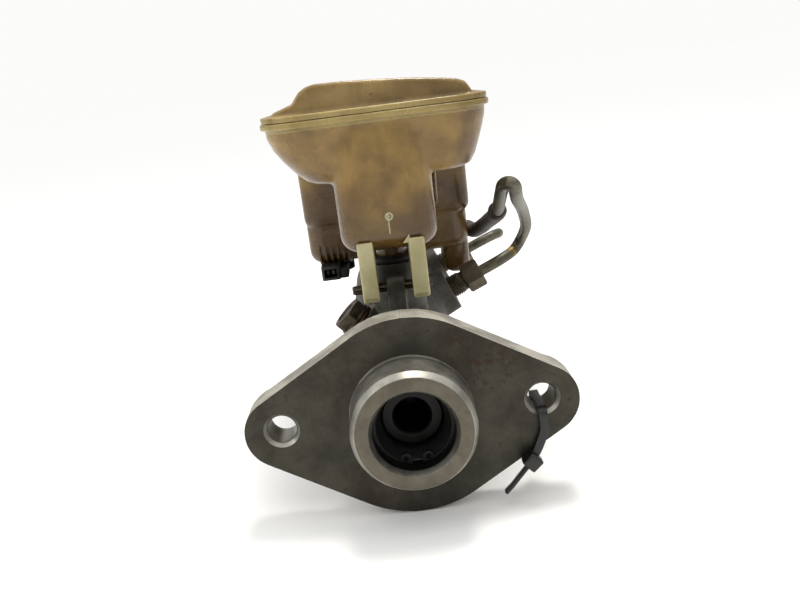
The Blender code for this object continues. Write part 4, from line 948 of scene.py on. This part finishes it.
def tubes():
    out = Vector(radial(OUTLET_ANGLE))
    for tag, y, route in (("primary", OUTLET_Y[0], PRIMARY_ROUTE),
                          ("secondary", OUTLET_Y[1], SECONDARY_ROUTE)):
        points = [Vector((out.x * d, y, out.z * d)) for d in (17.8, 30.0, 42.0)] + [Vector(p) for p in route]
        path = smooth_path(points, 0.9)
        radii = [TUBE_R] * len(path)
        inward = (path[-2] - path[-1]).normalized()
        rim = [path[-1] + inward * 0.25, path[-1], path[-1], path[-1] + inward * 0.6, path[-1] + inward * 5]
        tube = sweep("tube_" + tag, path[:-1] + rim, radii[:-1] + [TUBE_R, TUBE_R - 0.2, 1.75, 1.55, 1.5], 24)
        dress(tube, "cylinder", ["brake_tube_" + tag], [TUBE])
        if tag == "primary":
            turn = min(range(len(path)), key=lambda i: path[i].y)
            leg = [p for p in path[turn:] if SLEEVE_RANGE[0] <= p.y <= SLEEVE_RANGE[1]]
            thick = []
            for i in range(len(leg)):
                ends = min(i, len(leg) - 1 - i)
                wrinkle = 0.05 * math.sin(i * 1.7) + 0.04 * math.sin(i * 0.63 + 1)
                cuff = -0.35 if ends == 0 else 0.35 if ends <= 6 else 0.0
                thick.append(TUBE_R + GAP + 0.6 + wrinkle + cuff)
            sleeve = sweep("heat_sleeve", leg, thick, 28)
            dress(sleeve, "cylinder", ["tube_sleeve"], [SLEEVE])


# ---------------------------------------------------------------- reservoir

RIM_CORNER = 14.0
SPLIT_GAP = 0.03              # half of the seam between the two mouldings


def rim_outline(grow=0.0, count=14):
    x = RIM_X + grow
    return rounded_box(-x, x, RIM_Y[0] - grow, RIM_Y[1] + grow, RIM_CORNER + grow, count)


# Levels of the pan: height, left, right, front, back, corner radius
PAN = [(69.0, -22.5, 28.0, 34.0, 143.0, 10.0), (70.2, -25.0, 30.3, 31.8, 145.5, 11.0),
       (73.0, -28.2, 32.0, 30.6, 147.0, 12.0), (77.0, -31.6, 33.4, 29.8, 147.6, 12.5),
       (81.0, -34.3, 34.8, 29.2, 148.0, 13.0), (85.0, -35.9, 35.9, 28.4, 148.0, 13.0),
       (89.3, -36.2, 36.2, 27.0, 148.0, 13.0)]


def pan_form(name, inset, ceiling):
    """Pan with sloping sides, lofted through its levels."""
    loops = []
    for z, left, right, front, back, radius in PAN:
        left, right, front, back = left + inset, right - inset, front + inset, back - inset
        radius -= inset * 0.8
        level = z + inset * 0.5 if z < PAN[-1][0] else ceiling
        outline = rounded_box(left, right, front, back, radius, 10)
        loops.append([Vector((x, y, level)) for x, y in outline])
    return skin(name, loops)


def tank_form(tag, inset, ceiling):
    """Outer or, with an inset, inner shape of the lower half: pan, front well and rear tank."""
    def room(name, low, high, corner, floor):
        low = (low[0] + inset, low[1] + inset, low[2] + inset)
        high = (high[0] - inset, high[1] - inset, high[2] - inset)
        return brick(name + tag, low, high, corner - inset, floor - inset)

    return [pan_form("pan" + tag, inset, ceiling),
            room("well", (-16.2, WELL_FRONT, TANK_FLOOR[0]), (16.2, 66.0, 88.0), 8.0, 5.5),
            room("rear_upper", (-36.0, 114.0, 41.0), (36.3, 147.5, 78.0), 6.0, 4.0),
            room("rear_lower", (-35.7, 115.5, TANK_FLOOR[1]), (34.7, 146.0, 60.0), 6.5, 5.5),
            room("rear_drop", (23.0, 117.5, 13.5), (34.5, 144.5, 45.0), 5.0, 4.0)]


def reservoir_lower():
    parts = tank_form("_outer", 0.0, RIM_Z[0] + 1.0)
    for y, top, floor in zip(INLET_Y, INLET_BOSS_TOP, TANK_FLOOR):
        parts.append(lathe("nozzle", [(0, floor + 2.0), (7.0, floor + 2.0), (6.9, floor - 0.4),
                                      (5.6, floor - 1.4),
                                      (5.5, top - 5.6), (5.0, top - 6.2), (0, top - 6.2)], (0, y, 0),
                                      ALONG_Z))
    # webs between the well and the pan
    parts.append(slab("side_web", [(48.0, 78.0), (62.0, 78.0), (62.0, 60.0), (60.0, 54.0), (58.0, 60.0),
                                   (54.0, 69.0)], 17.6, 19.0, "x"))
    parts.append(slab("side_web_foot", [(19.0, 60.0), (19.0, 76.0), (15.0, 76.0), (15.0, 52.0)],
                      59.5, 61.0, "y"))
    shell = fuse("tank", parts, 0.55, 4)

    rim = slab("rim", rim_outline(), RIM_Z[0], RIM_SPLIT - SPLIT_GAP, "z", 0.45, 4)
    step = slab("rim_step", rim_outline(-2.4), RIM_Z[0] - 1.2, RIM_Z[0] + 0.4, "z", 0.5, 3)
    lugs = []
    for side in (-1, 1):
        low, high = sorted((side * LUG_INNER, side * LUG_OUTER))
        outline = [(26.6, 31.0), (28.0, 29.2), (36.0, 27.6), (45.5, 27.6), (45.5, 47.5), (38.0, 49.8),
                   (26.6, 49.6)]
        lugs.append(slab("lug", outline, low, high, "x", 0.6, 3))
    lugs.append(slab("gusset", [(4.0, 48.0), (6.6, 48.0), (6.4, 50.8)],
                     WELL_FRONT - 0.6, WELL_FRONT + 0.6, "y", 0.12))
    marks = [slab("seam", [(WELL_FRONT - 0.25, 51.5), (WELL_FRONT + 0.6, 51.5), (WELL_FRONT + 0.6, 85.0),
                           (WELL_FRONT - 0.25, 85.0)], 0.1, 0.5, "x"),
             ring("gate", 0.8, 1.35, -0.35, 0.3, (0.6, WELL_FRONT, 57.2), (0, -1, 0), 28, 0.15),
             rod("gate_core", 0.35, -0.4, 0.15, (0.6, WELL_FRONT, 57.2), (0, -1, 0), 16)]
    for side in (-1, 1):
        marks.append(slab("tank_seam", [(113.7, 53.6), (114.5, 53.6), (114.5, 54.2), (113.7, 54.2)],
                          *sorted((side * 18.0, side * 30.0)), "x"))
    for k in range(6):
        x = -31.5 + 2.6 * k
        marks.append(slab("foot_rib", [(114.7, 27.5), (116.5, 25.0 + 0.5), (119.5, 24.4), (119.5, 27.0),
                                       (117.0, 31.5), (114.9, 33.5)], x, x + 0.8, "x"))
    join(shell, rim, step, *lugs, *marks)
    cut(shell, *tank_form("_inner", WALL, RIM_Z[1]))
    join(shell, slab("partition", [(-26.0, 71.6), (30.3, 71.6), (34.2, 82.0), (-33.2, 82.0)], 88.0, 90.0))
    cutters = [rod("nozzle_bore", 3.7, top - 8.0, top + 30.0, (0, y, 0), ALONG_Z)
               for y, top in zip(INLET_Y, INLET_BOSS_TOP)]
    cutters.append(rod("lug_hole", PIN_R + GAP, -20.0, 20.0, (0, PIN_Y, PIN_Z), ALONG_X))
    cutters.append(rod("sensor_hole", 4.6, 10.0, 32.0, (SENSOR_X, SENSOR_Y, 0), ALONG_Z))
    cut(shell, *cutters)

    def choose(c, n):
        index = np.zeros(c.shape[1])
        index[c[2] > RIM_Z[0] - 1.3] = 2
        index[(np.abs(c[0]) > LUG_INNER - 0.3) & (np.abs(c[0]) < LUG_OUTER + 0.3) & (c[1] < 46.0) & (c[2] < 49.2)
              & ((c[2] < TANK_FLOOR[0]) | (c[1] < WELL_FRONT - 0.1))] = 1
        index[(c[1] < WELL_FRONT - 0.1) & (c[2] < 60.0)] = 1
        return index

    dress(shell, "cylinder", ["reservoir_lower"], [TANK, CLEAN, RIM], choose)


DOME_OUTSIDE = [(-34.5, 91.8), (32.4, 91.8), (31.1, 94.3), (29.8, 96.2), (27.0, 97.3), (20.0, 98.4),
                (10.9, 99.4), (1.4, 100.1), (-8.0, 100.7), (-17.7, 100.9), (-20.6, 100.3), (-22.9, 99.0),
                (-24.6, 97.0), (-25.6, 95.6), (-31.6, 93.7)]
DOME_INSIDE = [(-28.0, 91.0), (29.8, 91.0), (28.6, 93.6), (26.6, 95.0), (20.0, 96.2), (10.9, 97.2),
               (0.0, 98.0), (-17.4, 98.7), (-21.0, 97.0), (-22.8, 93.7)]


def dome(tag, outline, inset, edge):
    """Raised front of the cover: a low shoulder on its left, then a crowned top that falls to its right."""
    return slab("dome" + tag, outline, 33.0 + inset, 92.0 - inset, "y", edge, 3)


def reservoir_upper():
    parts = [slab("deck", rim_outline(-1.6), RIM_SPLIT + 0.3, RIM_Z[1] - 0.15, "z"),
             dome("_outer", DOME_OUTSIDE, 0.0, 0.9),
             rod("neck", NECK_R + 0.1, RIM_SPLIT + 0.5, NECK_TOP - 2.4, (0, NECK_Y, 0), ALONG_Z, 96)]
    cover = fuse("cover", parts, 0.5, 3)
    rim = slab("cover_rim", rim_outline(-0.5), RIM_SPLIT + SPLIT_GAP, RIM_Z[1], "z", 0.5, 4)
    cut(rim, slab("rim_inside", rim_outline(-3.2), RIM_SPLIT - 2, RIM_Z[1] + 2, "z"))
    marks = [ring("cover_gate", 0.7, 1.2, -0.3, 0.3, (-0.2, 33.0, 95.4), (0, -1, 0), 28, 0.12),
             slab("cover_mark", [(32.7, 93.8), (33.2, 93.8), (33.2, 97.0), (32.7, 97.0)], 3.2, 3.6, "x")]
    collar = thread("neck_thread", NECK_R, 0.7, NECK_TOP - 3.2, NECK_TOP, (0, NECK_Y, 0), ALONG_Z, 1.6, 96)
    join(cover, rim, *marks, collar)
    cut(cover, dome("_inner", DOME_INSIDE, 2.0, 0.0),
        brick("open_under_dome", (-22.0, 36.0, 88.0), (29.0, 89.5, 92.6)),
        rod("neck_bore", NECK_R - 2.2, 85.0, 100.0, (0, NECK_Y, 0), ALONG_Z, 96))

    def choose(c, n):
        edge = (np.abs(c[0]) > RIM_X - 3.4) | (c[1] < RIM_Y[0] + 3.4) | (c[1] > RIM_Y[1] - 3.4)
        index = np.zeros(c.shape[1])
        index[edge & (c[2] < RIM_Z[1] + 0.1)] = 1
        return index

    dress(cover, "cylinder", ["reservoir_upper"], [COVER, RIM], choose)


def reservoir_parts():
    for tag, y, top in zip(("front", "rear"), INLET_Y, INLET_BOSS_TOP):
        plug_r = INLET_POCKET_R - GAP
        grommet = lathe("grommet_" + tag, [(5.7, top + 2.2), (8.6, top + 2.2), (9.2, top + 1.7),
                                           (9.2, top + GAP),
                                           (plug_r, top + GAP), (plug_r - 0.4, top - 2.0),
                                           (plug_r, top - 3.0),
                                           (plug_r, top - 6.4), (plug_r - 0.5, top - 7.4), (5.7, top - 7.4)],
                        (0, y, 0), ALONG_Z, closed=True)
        dress(grommet, "cylinder", ["inlet_grommet_" + tag], [RUBBER])

    pin = lathe("roll_pin", [(0.85, 12.6), (1.3, 12.6), (PIN_R, 11.8), (PIN_R, -14.2), (1.3, -15.0),
                             (0.85, -15.0)],
                (0, PIN_Y, PIN_Z), ALONG_X, 40, True, 0.1)
    cut(pin, brick("pin_slot", (-16.0, PIN_Y - 2.5, PIN_Z - 0.25), (14.0, PIN_Y - 0.5, PIN_Z + 0.25)))
    dress(pin, "cylinder", ["reservoir_pin"], [STEEL])

    top, inner, collar = NECK_TOP + GAP, NECK_R - 2.2 - GAP, NECK_R - 0.5
    basket = lathe("basket", [(inner - 1.2, top + 0.9), (collar, top + 0.9), (collar, top), (inner, top),
                              (inner, 84.0), (inner - 1.2, 80.0), (0, 80.0), (0, 81.2), (inner - 1.8, 81.2),
                              (inner - 1.2, 84.4)][::-1], (0, NECK_Y, 0), ALONG_Z, 96, True)
    slots = []
    for k in range(12):
        way = Matrix.Rotation(math.radians(30 * k + 10), 3, "Z") @ Vector((1, 0, 0))
        for z in (86.5, 90.0):
            slots.append(rod("basket_hole", 1.2, 9.0, 17.5, (0, NECK_Y, z), way, 20))
    cut(basket, *slots)
    dress(basket, "cylinder", ["filler_strainer"], [STRAINER])

    top = NECK_TOP + 2.5
    seal = lathe("diaphragm", [(0, top), (NECK_R, top), (NECK_R, top - 1.0), (12.4, top - 1.0),
                               (12.0, top - 2.6),
                               (9.2, top - 2.8), (8.2, top - 1.4), (5.4, top - 1.4), (4.6, top - 2.8),
                               (0, top - 2.8)],
                 (0, NECK_Y, 0), ALONG_Z, fillet=0.3)
    dress(seal, "cap_rubber", ["cap_seal"], [RUBBER])

    top = NECK_TOP + 4.9
    cap = lathe("screw_cap", [(0, top - 0.5), (10.0, top - 0.5), (10.6, top), (17.5, top), (20.0, top - 0.4),
                              (20.8, top - 1.4), (20.8, RIM_Z[1] + 0.8), (NECK_R + 1.6, RIM_Z[1] + 0.8),
                              (NECK_R + 1.6, top - 4.4), (NECK_R + 0.5, top - 3.6), (NECK_R + 0.5, top - 2.0),
                              (0, top - 2.0)], (0, NECK_Y, 0), ALONG_Z, 360, fillet=0.35)
    grips = []
    for k in range(36):
        angle = math.radians(10 * k)
        x, y = 20.95 * math.cos(angle), NECK_Y + 20.95 * math.sin(angle)
        grips.append(rod("grip", 0.55, RIM_Z[1], top - 1.9, (x, y, 0), ALONG_Z, 12))
    cut(cap, *grips)
    dress(cap, "cap", ["filler_cap"], [BLACK])

    floor = TANK_FLOOR[1]
    sensor = lathe("sender", [(0, 62.0), (2.6, 62.0), (3.2, 61.4), (3.2, floor + 3.0), (4.3, floor + 2.6),
                              (4.3, floor - GAP), (6.8, floor - GAP), (6.8, floor - 5.0), (0, floor - 5.0)],
                   (SENSOR_X, SENSOR_Y, 0), ALONG_Z)
    housing = brick("sender_housing", (SENSOR_X - 7.0, 108.0, floor - 5.5),
                    (SENSOR_X + 1.0, 126.0, floor + 0.8),
                    1.0, 0.5, 3, 0.4)
    cut(housing, brick("room_above", (SENSOR_X - 12, 114.8, floor - GAP), (SENSOR_X + 8, 130, floor + 4)))
    latch = brick("sender_latch", (SENSOR_X - 1.0, 110.0, floor - 5.5), (SENSOR_X + 4.5, 126.0, floor - 0.9),
                  0.8, 0.5, 3, 0.4)
    join(sensor, housing, latch)
    cut(sensor, brick("plug_mouth", (SENSOR_X - 5.8, 100.0, floor - 4.3),
                      (SENSOR_X - 0.4, 117.0, floor - 0.6), 0.0))
    pins = [brick("blade", (SENSOR_X - 4.9 + 2.4 * k, 111.0, floor - 3.4),
                  (SENSOR_X - 3.9 + 2.4 * k, 118.5, floor - 1.8), 0.2, 0, 2) for k in range(2)]
    join(sensor, *pins)
    dress(sensor, "cylinder", ["level_sensor"], [BLACK, STEEL],
          lambda c, n: (c[1] > 111) & (c[1] < 116.8) & (np.abs(c[0] - SENSOR_X + 3.2) < 2.0)
          & (c[2] > floor - 3.6) & (c[2] < floor - 1.6))

    float_ring = lathe("ring_float", [(4.0, 38.5), (7.4, 38.5), (8.2, 37.7), (8.2, 30.3), (7.4, 29.5),
                                      (4.0, 29.5)],
                       (SENSOR_X, SENSOR_Y, 0), ALONG_Z, closed=True, fillet=0.4)
    dress(float_ring, "float", ["level_float"], [FOAM])


# ---------------------------------------------------------------- tie

TIE_X = 40.0
TIE_LOOP = [(-1.3, -15.5), (-1.4, -10.0), (-1.3, -5.8), (-0.9, -4.2), (0.3, -3.4), (3.0, -3.3),
            (10.5, -3.3), (13.5, -3.2), (14.6, -4.5), (14.6, -10.5), (13.6, -15.6), (9.5, -18.7),
            (4.0, -20.0), (-0.4, -19.6), (-1.5, -17.8)]
TIE_LEAN_FROM, TIE_LEAN = -12.0, 0.62
TIE_TAIL = [(34.6, -2.6, -20.0), (31.6, -2.7, -23.2), (28.6, -2.7, -26.6), (26.3, -2.4, -29.0)]
TIE_HEAD, TIE_HEAD_TURN = (35.3, -2.7, -19.3), 48.0


def cable_tie():
    route = [Vector((TIE_X + min(z - TIE_LEAN_FROM, 0.0) * TIE_LEAN, y, z)) for y, z in TIE_LOOP]
    band = (arc((1.2, 0.3), 0.18, 0, 90, 3) + arc((-1.2, 0.3), 0.18, 90, 180, 3)
            + arc((-1.2, -0.3), 0.18, 180, 270, 3) + arc((1.2, -0.3), 0.18, 270, 360, 3))
    loop = sweep("tie", smooth_path(route, 0.5, True), 0, section=band, side=Vector(ALONG_X), closed=True)
    head = brick("tie_head", (-2.5, -2.1, -2.3), (2.5, 2.1, 2.3), 0.7, 0.5, 3, 0.5)
    cut(head, brick("tie_slot", (-1.5, -1.5, -3.0), (1.5, -0.6, 3.0)))
    stand = Matrix.Translation(Vector(TIE_HEAD) * MM) @ Matrix.Rotation(math.radians(TIE_HEAD_TURN), 4, "Y")
    head.data.transform(stand)
    tail_path = smooth_path([Vector(p) for p in TIE_TAIL], 0.5)
    tail = sweep("tie_tail", tail_path, 0, section=[(u * 0.8, v) for u, v in band], side=Vector((0, 1, 0)))
    join(loop, head, tail)
    dress(loop, "tie", ["cable_tie"], [TIE])


# ---------------------------------------------------------------- stage, light and camera

CAMERA = (0.0, -227.9, 99.1)
PITCH, ROLL = math.radians(15.3), math.radians(7.2)
SHIFT = 0.003
SENSOR = 36.0
LENS = 36.0                   # as long as the sensor is wide
FLOOR_HALF, FLOOR_DROP = 30.0, 0.0003                    # metres
HORIZON_LIGHT, ZENITH_LIGHT, BACKDROP = 0.30, 1.50, 0.97
LOOK_AT = (0, 0.05, 0.04)
LAMPS = (("overhead", (0.10, 0.16, 0.78), 0.20, 4.2, (1.0, 0.97, 0.92)),
         ("side", (-0.62, -0.15, 0.42), 0.30, 0.9, (0.95, 0.98, 1.0)))


def stage():
    floor = solid("floor", [(x * FLOOR_HALF, y * FLOOR_HALF, CAD_BOX[0].z - FLOOR_DROP) for x, y in
                            ((-1, -1), (1, -1), (1, 1), (-1, 1))], [(0, 1, 2, 3)])
    mat = bpy.data.materials.new("pale_floor")
    mat.use_nodes = True
    shader = mat.node_tree.nodes["Principled BSDF"]
    shader.inputs["Base Color"].default_value = (0.90, 0.90, 0.89, 1)
    shader.inputs["Roughness"].default_value = 0.9
    floor.data.materials.append(mat)

    world = bpy.data.worlds.new("studio")
    bpy.context.scene.world = world
    world.use_nodes = True
    tree = world.node_tree
    tree.nodes.clear()
    place = tree.nodes.new("ShaderNodeTexCoord")
    split = tree.nodes.new("ShaderNodeSeparateXYZ")
    rise = tree.nodes.new("ShaderNodeMapRange")
    back = tree.nodes.new("ShaderNodeBackground")
    out = tree.nodes.new("ShaderNodeOutputWorld")
    tree.links.new(place.outputs["Generated"], split.inputs[0])
    tree.links.new(split.outputs["Z"], rise.inputs["Value"])
    rise.inputs["To Min"].default_value = HORIZON_LIGHT
    rise.inputs["To Max"].default_value = ZENITH_LIGHT
    seen = tree.nodes.new("ShaderNodeLightPath")
    choice = tree.nodes.new("ShaderNodeMix")
    tree.links.new(seen.outputs["Is Camera Ray"], choice.inputs["Factor"])
    tree.links.new(rise.outputs["Result"], choice.inputs["A"])
    choice.inputs["B"].default_value = BACKDROP
    tree.links.new(choice.outputs["Result"], back.inputs["Strength"])
    back.inputs["Color"].default_value = (1.0, 0.995, 0.985, 1)
    tree.links.new(back.outputs[0], out.inputs["Surface"])

    for name, place, size, power, colour in LAMPS:
        light = bpy.data.lights.new(name, "AREA")
        light.size = size
        light.energy = power
        light.color = colour
        lamp = bpy.data.objects.new(name, light)
        bpy.context.scene.collection.objects.link(lamp)
        lamp.location = place
        lamp.rotation_euler = (Vector(LOOK_AT) - Vector(place)).to_track_quat("-Z", "Y").to_euler()


def camera():
    data = bpy.data.cameras.new("camera")
    data.lens, data.sensor_width, data.clip_start = LENS, SENSOR, 0.01
    data.shift_x = SHIFT
    cam = bpy.data.objects.new("camera", data)
    bpy.context.scene.collection.objects.link(cam)
    ahead = Vector((0, math.cos(PITCH), -math.sin(PITCH)))
    above = Vector((0, math.sin(PITCH), math.cos(PITCH)))
    right = Vector((math.cos(ROLL), 0, 0)) - math.sin(ROLL) * above
    up = Vector((math.sin(ROLL), 0, 0)) + math.cos(ROLL) * above
    turn = Matrix((right, up, -ahead)).transposed().to_4x4()
    cam.matrix_world = Matrix.Translation(Vector(CAMERA) * MM) @ turn
    bpy.context.scene.camera = cam


camera()
stage()
casting()
bore_parts()
bolts()
nuts()
tubes()
reservoir_lower()
reservoir_upper()
reservoir_parts()
cable_tie()
bpy.context.scene.view_settings.view_transform = "Standard"
